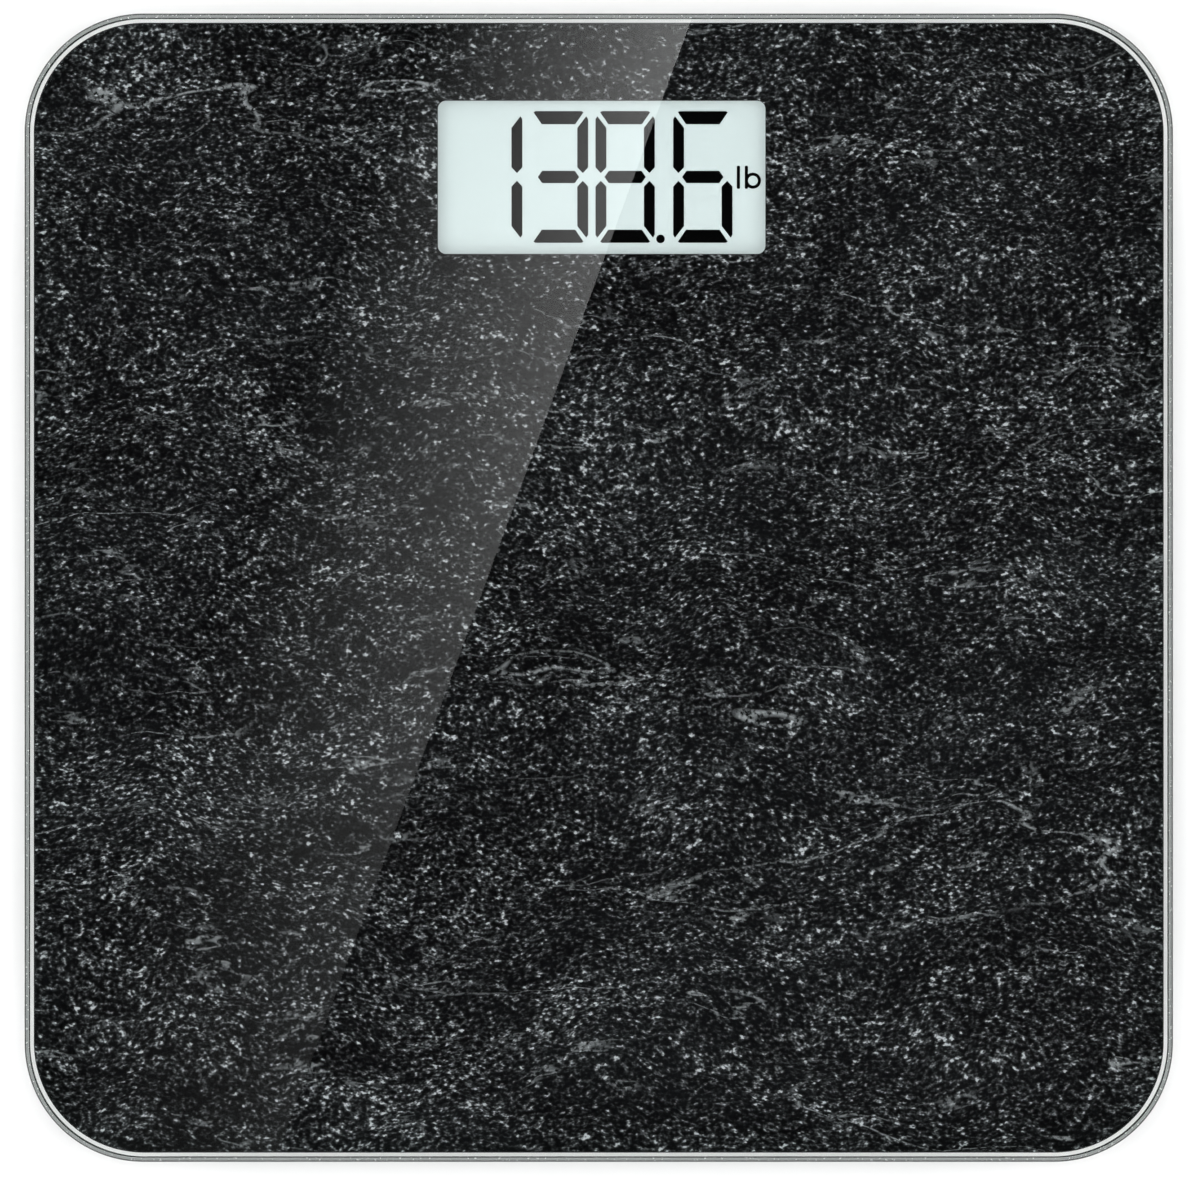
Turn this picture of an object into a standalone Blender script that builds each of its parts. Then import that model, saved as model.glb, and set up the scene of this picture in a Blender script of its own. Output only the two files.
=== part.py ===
"""Digital bathroom scale: a square glass platform on a moulded tray, carried by four weighing feet.

Metres, +Z up. The origin is on the floor under the middle of the platform. +Y points to the toe end,
where the display is, and +X to the right of a person who stands facing the display.
Run with: blender --background --python part.py
"""

import math

import bmesh
import bpy
from mathutils import Matrix, Vector

GAP = 0.0003  # left between pieces that touch on the real object

# Platform: tempered glass with a ground and polished edge, printed on its underside
PLATFORM_WIDTH = 0.280
PLATFORM_DEPTH = 0.280
PLATFORM_THICKNESS = 0.006
PLATFORM_CORNER_R = 0.029
PLATFORM_CHAMFER = 0.0009
PRINT_INSET = 0.0020  # clear glass left outside the print
FILM_THICKNESS = 0.0003
TAPE_THICKNESS = 0.0008

# Display window in the print
WINDOW_WIDTH = 0.0800
WINDOW_DEPTH = 0.0374
WINDOW_CORNER_R = 0.0020
WINDOW_MARGIN = 0.0213  # from the platform's toe edge to the window
WINDOW_OFFSET_X = 0.0007

# Tray
FLOOR_CLEARANCE = 0.0040  # from the floor to the tray's underside
TRAY_WALL = 0.0020
TRAY_BRIM_INSET = 0.0060
TRAY_WALL_INSET = 0.0110  # where the wall meets the brim
TRAY_FOOT_INSET = 0.0170  # where the wall meets the tray's underside
TRAY_EDGE_R = 0.0012
TAPE_WIDTH = 0.0046
RIB_THICKNESS = 0.0018
RIB_TO_COLLAR = 0.0130
RIB_TO_BOARD = 0.0140

# Battery bay, for two AAA cells side by side
CELL_DIAMETER = 0.0104
CELL_LENGTH = 0.0445
CELL_CAP_R = 0.0019
CELL_CAP_HEIGHT = 0.0009
CELL_EDGE = 0.0004
CELL_SPACING = 0.0008
BAY_SIDE_ROOM = 0.0027
BAY_WALL = 0.0015
BAY_TO_BOARD = 0.0270
PLATE_THICKNESS = 0.0004
PLATE_HEIGHT = 0.0080
PLATE_WIDTH = 0.0090
TAG_LENGTH = 0.0034
SPRING_LENGTH = 0.0044
SPRING_WIRE_R = 0.00035
SPRING_BASE_R = 0.0038
SPRING_TIP_R = 0.0024
SPRING_TURNS = 3

# Battery door: hooks at its heel edge, a latch at its toe edge
DOOR_THICKNESS = 0.0016
DOOR_CORNER_R = 0.0012
HOOK_WIDTH = 0.0060
HOOK_REACH = 0.0023
HOOK_THICKNESS = 0.0010
HOOK_OFFSET_X = 0.0150
HOOK_SLOT_HEIGHT = 0.0034
LATCH_WIDTH = 0.0090
LATCH_HEIGHT = 0.0040
LATCH_THICKNESS = 0.0012
LATCH_SETBACK = 0.0009
LATCH_NUB = 0.0005
THUMB_NOTCH_R = 0.0070
THUMB_NOTCH_DEPTH = 0.0012

# Feet, and the load cells that stand on them
FOOT_R = 0.0188
FOOT_SKIRT = 0.0011  # how far the cup's skirt hangs round the pad
FOOT_FLANGE = 0.0026
FOOT_FLANGE_THICKNESS = 0.0013
FOOT_BOSS_R = 0.0040
FOOT_BOSS_RISE = 0.0011
FOOT_HOLE_CLEARANCE = 0.0005
FOOT_TRAVEL = 0.0004  # how far a foot drops when the scale is lifted
PAD_THICKNESS = 0.0022
PAD_GROOVE = 0.0006
PAD_GROOVE_PLACE = 0.62  # share of the pad's radius
COLLAR_WALL = 0.0016
COLLAR_HEIGHT = 0.0026
LOAD_CELL_SIDE = 0.0340
LOAD_CELL_THICKNESS = 0.0016
TONGUE_WIDTH = 0.0120
SLOT_WIDTH = 0.0030
LOAD_CELL_RIM = 0.0050
CARRIER_WALL = 0.0027
CARRIER_TOP = 0.0016
CARRIER_LEDGE = 0.0040  # how far the carrier's inner rim bears on the load cell
CORNER_CLEARANCE = 0.0020
GAUGE_LENGTH = 0.0100
GAUGE_WIDTH = 0.0060
GAUGE_THICKNESS = 0.0008

# Display and board
LCD_BORDER = 0.0020
LCD_THICKNESS = 0.0020
BEZEL_WALL = 0.0026
GUIDE_THICKNESS = 0.0018
GUIDE_SIDE_ROOM = 0.0028
LED_SIZE = (0.0014, 0.0030, 0.0012)
ZEBRA_WIDTH = 0.0016
GASKET_LAP = 0.0010
BOARD_THICKNESS = 0.0016
BOARD_STRIP = 0.0150  # board left free at the heel side of the display
BOARD_SHOULDER = 0.0080  # board left free at each end of the display
BOARD_CORNER_R = 0.0015
CHIP_SIZE = (0.0100, 0.0075, 0.0020)
SCREW_R = 0.0010
SCREW_HEAD_R = 0.0023
SCREW_HEAD_TOP_R = 0.0016
SCREW_HEAD_HEIGHT = 0.0014
SCREW_LENGTH = 0.0068
SCREW_EDGE = 0.0040  # from a board edge to a screw's axis
BOSS_R = 0.0030

# Unit button
BUTTON_R = 0.0041
BUTTON_PROUD = 0.0002
BUTTON_FLANGE = 0.0016
BUTTON_FLANGE_THICKNESS = 0.0007
BUTTON_CLEARANCE = 0.0004
BUTTON_TRAVEL = 0.0004
BUTTON_OFFSET_X = 0.0340
SWITCH_SIDE = 0.0060
SWITCH_HEIGHT = 0.0028
SWITCH_RECESS = 0.0018
PLUNGER_R = 0.0016

# Leads
SENSOR_LEAD_R = 0.0012
BATTERY_LEAD_R = 0.0007
LEAD_LIFT = 0.0010  # height of a lead over the tray's floor
LEAD_NOTCH = 0.0018  # half the width of the carrier's notch for the lead
LEAD_STUB = 0.0026  # how far a battery lead leaves its tag before it bends
BATTERY_LEAD_SWING = {"plus": 0.67, "minus": 0.33}  # share of the room between the tags and the rib

# Round shapes
PLATFORM_CORNER_STEPS = 12
CORNER_STEPS = 6
ROUND_STEPS = 24
SMALL_ROUND_STEPS = 12
NEAR = 1e-7
MERGE_DISTANCE = 0.00001
SHARP_ANGLE = math.radians(35)

# Heights, from the floor up
tray_floor_top = FLOOR_CLEARANCE + TRAY_WALL
door_top = FLOOR_CLEARANCE + DOOR_THICKNESS
cell_low = door_top + GAP
cell_middle = cell_low + CELL_DIAMETER / 2
bay_ceiling = cell_low + CELL_DIAMETER + GAP
tape_high = bay_ceiling + BAY_WALL
tape_low = tape_high - TAPE_THICKNESS
film_low = tape_high + GAP
film_high = film_low + FILM_THICKNESS
glass_low = film_high + GAP
glass_high = glass_low + PLATFORM_THICKNESS
tray_top = tape_low - GAP
brim_low = tray_top - TRAY_WALL
lcd_low = tray_top - LCD_THICKNESS
guide_high = lcd_low - GAP
guide_low = guide_high - GUIDE_THICKNESS
board_high = guide_low - GAP
board_low = board_high - BOARD_THICKNESS
flange_low = tray_floor_top + GAP + FOOT_TRAVEL
flange_high = flange_low + FOOT_FLANGE_THICKNESS
foot_boss_top = flange_high + FOOT_BOSS_RISE
load_cell_low = foot_boss_top + GAP
load_cell_high = load_cell_low + LOAD_CELL_THICKNESS
gauge_high = load_cell_high + GAP + GAUGE_THICKNESS
button_flange_high = tray_floor_top + GAP + BUTTON_FLANGE_THICKNESS
switch_high = board_low - GAP
switch_low = switch_high - SWITCH_HEIGHT
sensor_lead_end = board_high + GAP + SENSOR_LEAD_R
battery_lead_end = board_high + GAP + BATTERY_LEAD_R

# Places in plan
carrier_half = LOAD_CELL_SIDE / 2 + GAP + CARRIER_WALL
flange_r = FOOT_R + FOOT_FLANGE
collar_r = flange_r + FOOT_HOLE_CLEARANCE
foot_inset = TRAY_FOOT_INSET + TRAY_WALL + max(carrier_half + CORNER_CLEARANCE, collar_r)
foot_x = PLATFORM_WIDTH / 2 - foot_inset
foot_y = PLATFORM_DEPTH / 2 - foot_inset
foot_hole_r = FOOT_R + FOOT_HOLE_CLEARANCE
pad_r = FOOT_R - FOOT_SKIRT - GAP
display_x = WINDOW_OFFSET_X
display_y = PLATFORM_DEPTH / 2 - WINDOW_MARGIN - WINDOW_DEPTH / 2
lcd_half_x = WINDOW_WIDTH / 2 + LCD_BORDER
lcd_half_y = WINDOW_DEPTH / 2 + LCD_BORDER
bezel_half_x = lcd_half_x + GAP + BEZEL_WALL
bezel_half_y = lcd_half_y + GAP + BEZEL_WALL
board_half_x = bezel_half_x + BOARD_SHOULDER
board_half_y = bezel_half_y + BOARD_STRIP / 2
board_y = display_y - BOARD_STRIP / 2
board_heel_edge = board_y - board_half_y
cell_pitch = CELL_DIAMETER + CELL_SPACING
rib_x = foot_x - collar_r - COLLAR_WALL - RIB_TO_COLLAR
bay_half_x = (CELL_LENGTH + SPRING_LENGTH + 2 * PLATE_THICKNESS + 5 * GAP) / 2
bay_half_y = (cell_pitch + CELL_DIAMETER) / 2 + BAY_SIDE_ROOM
bay_y = board_heel_edge - BAY_TO_BOARD - BAY_WALL - bay_half_y
door_half_x = bay_half_x - GAP
door_half_y = bay_half_y - GAP
hinge_y = bay_y - door_half_y
button_x = display_x - BUTTON_OFFSET_X
button_y = board_heel_edge + BOARD_STRIP / 2
CORNERS = {"heel_left": (-1, -1), "heel_right": (1, -1), "toe_left": (-1, 1), "toe_right": (1, 1)}


def clear_scene():
    for obj in list(bpy.data.objects):
        bpy.data.objects.remove(obj)


def new_collection(name):
    collection = bpy.data.collections.new(name)
    bpy.context.scene.collection.children.link(collection)
    return collection


def make_material(name, colour, roughness, metallic=0.0, transmission=0.0):
    material = bpy.data.materials.new(name)
    material.use_nodes = True
    shader = material.node_tree.nodes["Principled BSDF"]
    shader.inputs["Base Color"].default_value = (*colour, 1.0)
    shader.inputs["Roughness"].default_value = roughness
    shader.inputs["Metallic"].default_value = metallic
    shader.inputs["Transmission Weight"].default_value = transmission
    return material


def place(name, data, material, location=(0.0, 0.0, 0.0)):
    """A new object of the scale."""
    obj = bpy.data.objects.new(name, data)
    obj.location = location
    data.materials.append(material)
    scale_collection.objects.link(obj)
    return obj


def helper(obj):
    """Makes an object a cutter or an adder: out of the render, drawn as wire."""
    scale_collection.objects.unlink(obj)
    cutter_collection.objects.link(obj)
    obj.hide_render = True
    obj.display_type = "WIRE"
    return obj


def boolean(obj, other, operation):
    modifier = obj.modifiers.new(other.name, "BOOLEAN")
    modifier.operation = operation
    modifier.solver = "EXACT"
    modifier.object = helper(other)


def cut(obj, cutter):
    boolean(obj, cutter, "DIFFERENCE")


def join(obj, adder):
    boolean(obj, adder, "UNION")


def rounded_rectangle(half_x, half_y, radius, steps=CORNER_STEPS, centre=(0.0, 0.0)):
    """The outline's points, anticlockwise, with an arc at each corner."""
    points = []
    for quarter, (sign_x, sign_y) in enumerate(((1, 1), (-1, 1), (-1, -1), (1, -1))):
        for step in range(steps + 1):
            angle = (quarter + step / steps) * math.pi / 2
            x = centre[0] + sign_x * (half_x - radius) + radius * math.cos(angle)
            y = centre[1] + sign_y * (half_y - radius) + radius * math.sin(angle)
            points.append((x, y))
    return points


def circle(radius, steps, centre=(0.0, 0.0)):
    angles = [2 * math.pi * step / steps for step in range(steps)]
    return [(centre[0] + radius * math.cos(a), centre[1] + radius * math.sin(a)) for a in angles]


def flat_piece(name, outlines, low, high, material, centre=(0.0, 0.0)):
    """A flat piece between two heights: its first outline is its edge, and the others are holes."""
    curve = bpy.data.curves.new(name, "CURVE")
    curve.dimensions = "2D"
    curve.fill_mode = "BOTH"
    curve.extrude = (high - low) / 2
    for outline in outlines:
        spline = curve.splines.new("POLY")
        spline.points.add(len(outline) - 1)
        for point, (x, y) in zip(spline.points, outline):
            point.co = (x, y, 0.0, 1.0)
        spline.use_cyclic_u = True
    return place(name, curve, material, (centre[0], centre[1], (low + high) / 2))


def near(value, target):
    return abs(value - target) < NEAR


def block(name, half_x, half_y, low, high, material, centre=(0.0, 0.0), radius=0.0, **shape):
    """A box between two heights with round upright corners.

    shape may set steps for the corners, draft (how far the low end draws in), low_edge and
    high_edge (the width of the eased edge there) and edge_steps.
    """
    bm = bmesh.new()
    bmesh.ops.create_cube(bm, size=2.0)
    for vert in bm.verts:
        vert.co = (vert.co.x * half_x, vert.co.y * half_y, high if vert.co.z > 0 else low)
    if radius:
        upright = [e for e in bm.edges if not near(e.verts[0].co.z, e.verts[1].co.z)]
        corner_steps = shape.get("steps", CORNER_STEPS)
        bmesh.ops.bevel(
            bm, geom=upright, offset=radius, segments=corner_steps, affect="EDGES", profile=0.5, material=-1
        )
    if "draft" in shape:
        for vert in [v for v in bm.verts if near(v.co.z, low)]:
            centre_x = math.copysign(half_x - radius, vert.co.x)
            centre_y = math.copysign(half_y - radius, vert.co.y)
            keep = 1.0 - shape["draft"] / radius
            vert.co.x = centre_x + (vert.co.x - centre_x) * keep
            vert.co.y = centre_y + (vert.co.y - centre_y) * keep
    for height, key in ((low, "low_edge"), (high, "high_edge")):
        if key in shape:
            rim = [e for e in bm.edges if all(near(v.co.z, height) for v in e.verts)]
            edge_steps = shape.get("edge_steps", 1)
            bmesh.ops.bevel(
                bm, geom=rim, offset=shape[key], segments=edge_steps, affect="EDGES", profile=0.5, material=-1
            )
    mesh = bpy.data.meshes.new(name)
    bm.to_mesh(mesh)
    bm.free()
    return place(name, mesh, material, (centre[0], centre[1], 0.0))


def cylinders(name, centres, radius, low, high, material, steps=ROUND_STEPS):
    """One object of equal upright cylinders."""
    bm = bmesh.new()
    for x, y in centres:
        made = bmesh.ops.create_cone(
            bm, cap_ends=True, segments=steps, radius1=radius, radius2=radius, depth=high - low
        )
        bmesh.ops.translate(bm, verts=made["verts"], vec=(x, y, (low + high) / 2))
    mesh = bpy.data.meshes.new(name)
    bm.to_mesh(mesh)
    bm.free()
    return place(name, mesh, material)


def set_screw(modifier, steps):
    modifier.steps = steps
    modifier.render_steps = steps
    modifier.use_merge_vertices = True
    modifier.merge_threshold = MERGE_DISTANCE


def turned(name, profile, material, location=(0.0, 0.0, 0.0), steps=ROUND_STEPS):
    """A profile of (radius, height) points, from the top down the outside, turned about Z."""
    mesh = bpy.data.meshes.new(name)
    edges = [(i, i + 1) for i in range(len(profile) - 1)]
    mesh.from_pydata([(r, 0.0, z) for r, z in profile], edges, [])
    obj = place(name, mesh, material, location)
    set_screw(obj.modifiers.new("turn", "SCREW"), steps)
    return obj


def smooth_route(points, spacing):
    """Points about one spacing apart on the smooth curve through the given ones."""
    points = [Vector(point) for point in points]
    ends = [2 * points[0] - points[1], *points, 2 * points[-1] - points[-2]]
    route = [points[0]]
    for before, start, end, after in zip(ends, ends[1:], ends[2:], ends[3:]):
        count = max(1, round((end - start).length / spacing))
        for step in range(1, count + 1):
            t = step / count
            slope = end - before
            bend = 2 * before - 5 * start + 4 * end - after
            twist = 3 * start - before - 3 * end + after
            route.append(start + (slope * t + bend * t**2 + twist * t**3) / 2)
    return route


def tube(name, points, radius, material):
    curve = bpy.data.curves.new(name, "CURVE")
    curve.dimensions = "3D"
    curve.bevel_depth = radius
    curve.bevel_resolution = 2
    curve.use_fill_caps = True
    spline = curve.splines.new("POLY")
    spline.points.add(len(points) - 1)
    for point, place_on in zip(spline.points, points):
        point.co = (*place_on, 1.0)
    return place(name, curve, material)


def make_platform():
    glass = make_material("tempered_glass", (0.86, 0.90, 0.90), 0.02, transmission=0.95)
    ink = make_material("slate_print", (0.012, 0.013, 0.015), 0.35)
    foam = make_material("foam_tape", (0.75, 0.75, 0.73), 0.85)
    half_x = PLATFORM_WIDTH / 2
    half_y = PLATFORM_DEPTH / 2
    block(
        "glass_platform", half_x, half_y, glass_low, glass_high, glass, radius=PLATFORM_CORNER_R,
        steps=PLATFORM_CORNER_STEPS, low_edge=PLATFORM_CHAMFER, high_edge=PLATFORM_CHAMFER,
    )
    edge = inset_outline(PRINT_INSET, PLATFORM_CORNER_STEPS)
    window = rounded_rectangle(
        WINDOW_WIDTH / 2, WINDOW_DEPTH / 2, WINDOW_CORNER_R, centre=(display_x, display_y)
    )
    flat_piece("printed_film", [edge, window], film_low, film_high, ink)
    outer_inset = TRAY_BRIM_INSET + 2 * GAP
    outer = inset_outline(outer_inset, CORNER_STEPS)
    inner = inset_outline(outer_inset + TAPE_WIDTH, CORNER_STEPS)
    flat_piece("bonding_tape", [outer, inner], tape_low, tape_high, foam)


def inset_outline(inset, steps):
    """The platform's outline drawn in by an inset, its corner arcs on the same centres."""
    return rounded_rectangle(
        PLATFORM_WIDTH / 2 - inset, PLATFORM_DEPTH / 2 - inset, PLATFORM_CORNER_R - inset, steps
    )


def inset_block(name, inset, low, high, material, **shape):
    half_x = PLATFORM_WIDTH / 2 - inset
    half_y = PLATFORM_DEPTH / 2 - inset
    return block(name, half_x, half_y, low, high, material, radius=PLATFORM_CORNER_R - inset, **shape)


def wall_inset(height):
    """How far the tray's outer wall lies inside the platform's edge at a height."""
    share = (height - FLOOR_CLEARANCE) / (brim_low - FLOOR_CLEARANCE)
    return TRAY_FOOT_INSET + (TRAY_WALL_INSET - TRAY_FOOT_INSET) * share


def board_holes():
    """The centres of the board's four screws."""
    offset_x = board_half_x - SCREW_EDGE
    offset_y = board_half_y - SCREW_EDGE
    return {
        name: (display_x + sign_x * offset_x, board_y + sign_y * offset_y)
        for name, (sign_x, sign_y) in CORNERS.items()
    }


def make_tray():
    abs_black = make_material("moulded_abs", (0.016, 0.017, 0.018), 0.55)
    body_top = brim_low + TRAY_WALL / 2
    body_inset = wall_inset(body_top)
    tray = inset_block(
        "base_tray", body_inset, FLOOR_CLEARANCE, body_top, abs_black,
        draft=TRAY_FOOT_INSET - body_inset, low_edge=TRAY_EDGE_R, edge_steps=2,
    )
    join(tray, inset_block("brim", TRAY_BRIM_INSET, brim_low, tray_top, abs_black))
    hollow_top = tray_top + TRAY_WALL
    hollow_inset = wall_inset(hollow_top) + TRAY_WALL
    hollow_draft = wall_inset(tray_floor_top) + TRAY_WALL - hollow_inset
    cut(tray, inset_block("hollow", hollow_inset, tray_floor_top, hollow_top, abs_black, draft=hollow_draft))

    footing = tray_floor_top - TRAY_WALL / 2
    feet = [(sign_x * foot_x, sign_y * foot_y) for sign_x, sign_y in CORNERS.values()]
    collar_top = tray_floor_top + COLLAR_HEIGHT
    join(tray, cylinders("collars", feet, collar_r + COLLAR_WALL, footing, collar_top, abs_black))
    cut(tray, cylinders("collar_bores", feet, collar_r, tray_floor_top, hollow_top, abs_black))
    cut(tray, cylinders("foot_holes", feet, foot_hole_r, 0.0, hollow_top, abs_black))

    boss_top = board_low - GAP
    screws = list(board_holes().values())
    pilot_r = SCREW_R + GAP
    join(tray, cylinders("bosses", screws, BOSS_R, footing, boss_top, abs_black, SMALL_ROUND_STEPS))
    cut(tray, cylinders("pilot_holes", screws, pilot_r, footing, hollow_top, abs_black, SMALL_ROUND_STEPS))
    button_hole_r = BUTTON_R + BUTTON_CLEARANCE
    button = [(button_x, button_y)]
    cut(tray, cylinders("button_hole", button, button_hole_r, 0.0, hollow_top, abs_black))
    make_ribs(tray, footing, abs_black)
    make_bay(tray, footing, abs_black)


def make_ribs(tray, footing, material):
    """Two long ribs, one from the heel wall to the battery bay, and one across them."""
    half = RIB_THICKNESS / 2
    heel_end = TRAY_FOOT_INSET + TRAY_WALL / 2 - PLATFORM_DEPTH / 2
    toe_end = board_heel_edge - RIB_TO_BOARD
    middle_y = (heel_end + toe_end) / 2
    for name, x in (("rib_left", -rib_x), ("rib_right", rib_x)):
        long_half = (toe_end - heel_end) / 2
        join(tray, block(name, half, long_half, footing, tray_top, material, centre=(x, middle_y)))
    bay_end = hinge_y - BAY_WALL / 2
    spine_centre = (0.0, (heel_end + bay_end) / 2)
    spine_half = (bay_end - heel_end) / 2
    join(tray, block("rib_spine", half, spine_half, footing, tray_top, material, centre=spine_centre))
    join(tray, block("rib_cross", rib_x, half, footing, tray_top, material, centre=spine_centre))


def make_bay(tray, footing, material):
    """The pocket for the cells, open below, with slots for the door's hooks and the contacts' tags."""
    wall_x = bay_half_x + BAY_WALL
    wall_y = bay_half_y + BAY_WALL
    centre = (0.0, bay_y)
    join(tray, block("bay_walls", wall_x, wall_y, footing, tape_high, material, centre=centre))
    cut(tray, block("bay_hollow", bay_half_x, bay_half_y, 0.0, bay_ceiling, material, centre=centre))
    slot_half = HOOK_WIDTH / 2 + 2 * GAP
    slot_top = tray_floor_top + HOOK_SLOT_HEIGHT
    wall_middle = bay_y - bay_half_y - BAY_WALL
    for side, x in (("left", -HOOK_OFFSET_X), ("right", HOOK_OFFSET_X)):
        name = f"hook_slot_{side}"
        slot_centre = (x, wall_middle)
        cut(tray, block(name, slot_half, 2 * BAY_WALL, tray_floor_top, slot_top, material, centre=slot_centre))
    tag_half = PLATE_THICKNESS / 2 + GAP
    plate_half = PLATE_HEIGHT / 2 + GAP
    for name, sign in (("tag_slot_plus", -1), ("tag_slot_minus", 1)):
        tag_centre = (wall_x, bay_y + sign * cell_pitch / 2)
        low = cell_middle - plate_half
        high = cell_middle + plate_half
        cut(tray, block(name, 2 * BAY_WALL, tag_half, low, high, material, centre=tag_centre))
    notch = [(0.0, bay_y + bay_half_y)]
    notch_top = FLOOR_CLEARANCE + THUMB_NOTCH_DEPTH
    cut(tray, cylinders("thumb_notch", notch, THUMB_NOTCH_R, 0.0, notch_top, material))


def set_origin(obj, origin):
    """Moves an object's origin and leaves its shape where it is."""
    obj.data.transform(Matrix.Translation(obj.location - Vector(origin)))
    obj.location = origin


def make_door():
    """A plate with two hooks at its heel edge and a latch at its toe edge, its origin on the hinge axis."""
    abs_black = make_material("door_abs", (0.018, 0.019, 0.020), 0.50)
    door = block(
        "battery_door", door_half_x, door_half_y, FLOOR_CLEARANCE, door_top, abs_black, centre=(0.0, bay_y),
        radius=DOOR_CORNER_R, steps=2,
    )
    set_origin(door, (0.0, hinge_y, FLOOR_CLEARANCE))
    inside_plate = FLOOR_CLEARANCE + DOOR_THICKNESS / 2
    hook_low = tray_floor_top + GAP
    hook_high = hook_low + HOOK_THICKNESS
    hook_half = HOOK_WIDTH / 2
    neck_half = HOOK_THICKNESS / 2
    lip_half = (HOOK_REACH + neck_half) / 2
    for side, x in (("left", -HOOK_OFFSET_X), ("right", HOOK_OFFSET_X)):
        neck_centre = (x, hinge_y + neck_half)
        lip_centre = (x, hinge_y + (neck_half - HOOK_REACH) / 2)
        neck_name = f"hook_neck_{side}"
        lip_name = f"hook_lip_{side}"
        join(door, block(neck_name, hook_half, neck_half, inside_plate, hook_high, abs_black, neck_centre))
        join(door, block(lip_name, hook_half, lip_half, hook_low, hook_high, abs_black, lip_centre))
    latch_face = hinge_y + 2 * door_half_y - LATCH_SETBACK
    latch_half = LATCH_THICKNESS / 2
    latch_centre = (0.0, latch_face - latch_half)
    latch_top = door_top + LATCH_HEIGHT
    join(door, block("latch", LATCH_WIDTH / 2, latch_half, inside_plate, latch_top, abs_black, latch_centre))
    nub_half = (LATCH_NUB + latch_half) / 2
    nub_centre = (0.0, latch_face + (LATCH_NUB - latch_half) / 2)
    join(door, block("latch_nub", LATCH_WIDTH / 3, nub_half, hook_low, hook_high, abs_black, nub_centre))


def make_cells():
    """Two AAA cells that point opposite ways, their contacts and springs."""
    steel = make_material("cell_jacket", (0.30, 0.31, 0.33), 0.30, metallic=0.6)
    plated = make_material("nickel_plate", (0.62, 0.60, 0.56), 0.25, metallic=1.0)
    can_r = CELL_DIAMETER / 2
    can_top = CELL_LENGTH - CELL_CAP_HEIGHT
    profile = [
        (0.0, CELL_LENGTH), (CELL_CAP_R, CELL_LENGTH), (CELL_CAP_R, can_top),
        (can_r - 2 * CELL_EDGE, can_top), (can_r, can_top - 2 * CELL_EDGE),
        (can_r, CELL_EDGE), (can_r - CELL_EDGE, 0.0), (0.0, 0.0),
    ]
    plate_at = bay_half_x - GAP - PLATE_THICKNESS
    cap_at = plate_at - GAP
    coil_start = plate_at - GAP - SPRING_WIRE_R
    coil_end = plate_at - GAP - SPRING_LENGTH + SPRING_WIRE_R
    half_width = PLATE_WIDTH / 2
    half_tag = PLATE_THICKNESS / 2
    tag_end = plate_at + PLATE_THICKNESS + TAG_LENGTH
    low = cell_middle - PLATE_HEIGHT / 2
    high = cell_middle + PLATE_HEIGHT / 2
    for name, sign, contact in (("a", 1, "contact_plus"), ("b", -1, "contact_minus")):
        y = bay_y - sign * cell_pitch / 2
        cell_start = sign * (cap_at - CELL_LENGTH)
        cell = turned(f"battery_{name}", profile, steel, (cell_start, y, cell_middle), ROUND_STEPS)
        cell.rotation_euler.y = sign * math.pi / 2
        tee = [
            (plate_at, -half_width), (plate_at + PLATE_THICKNESS, -half_width),
            (plate_at + PLATE_THICKNESS, -half_tag), (tag_end, -half_tag), (tag_end, half_tag),
            (plate_at + PLATE_THICKNESS, half_tag), (plate_at + PLATE_THICKNESS, half_width),
            (plate_at, half_width),
        ]
        flat_piece(contact, [tee], low, high, plated, centre=(0.0, y))
        steps = SPRING_TURNS * SMALL_ROUND_STEPS
        coil = []
        for step in range(steps + 1):
            share = step / steps
            angle = 2 * math.pi * SPRING_TURNS * share
            radius = SPRING_BASE_R + (SPRING_TIP_R - SPRING_BASE_R) * share
            x = coil_start + (coil_end - coil_start) * share
            coil.append((-sign * x, y + radius * math.cos(angle), cell_middle + radius * math.sin(angle)))
        tube(f"battery_spring_{name}", coil, SPRING_WIRE_R, plated)
    bridge_half_y = cell_pitch / 2 + half_width
    bridge_x = -plate_at - PLATE_THICKNESS / 2
    block("contact_bridge", half_tag, bridge_half_y, low, high, plated, centre=(bridge_x, bay_y))


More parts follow.
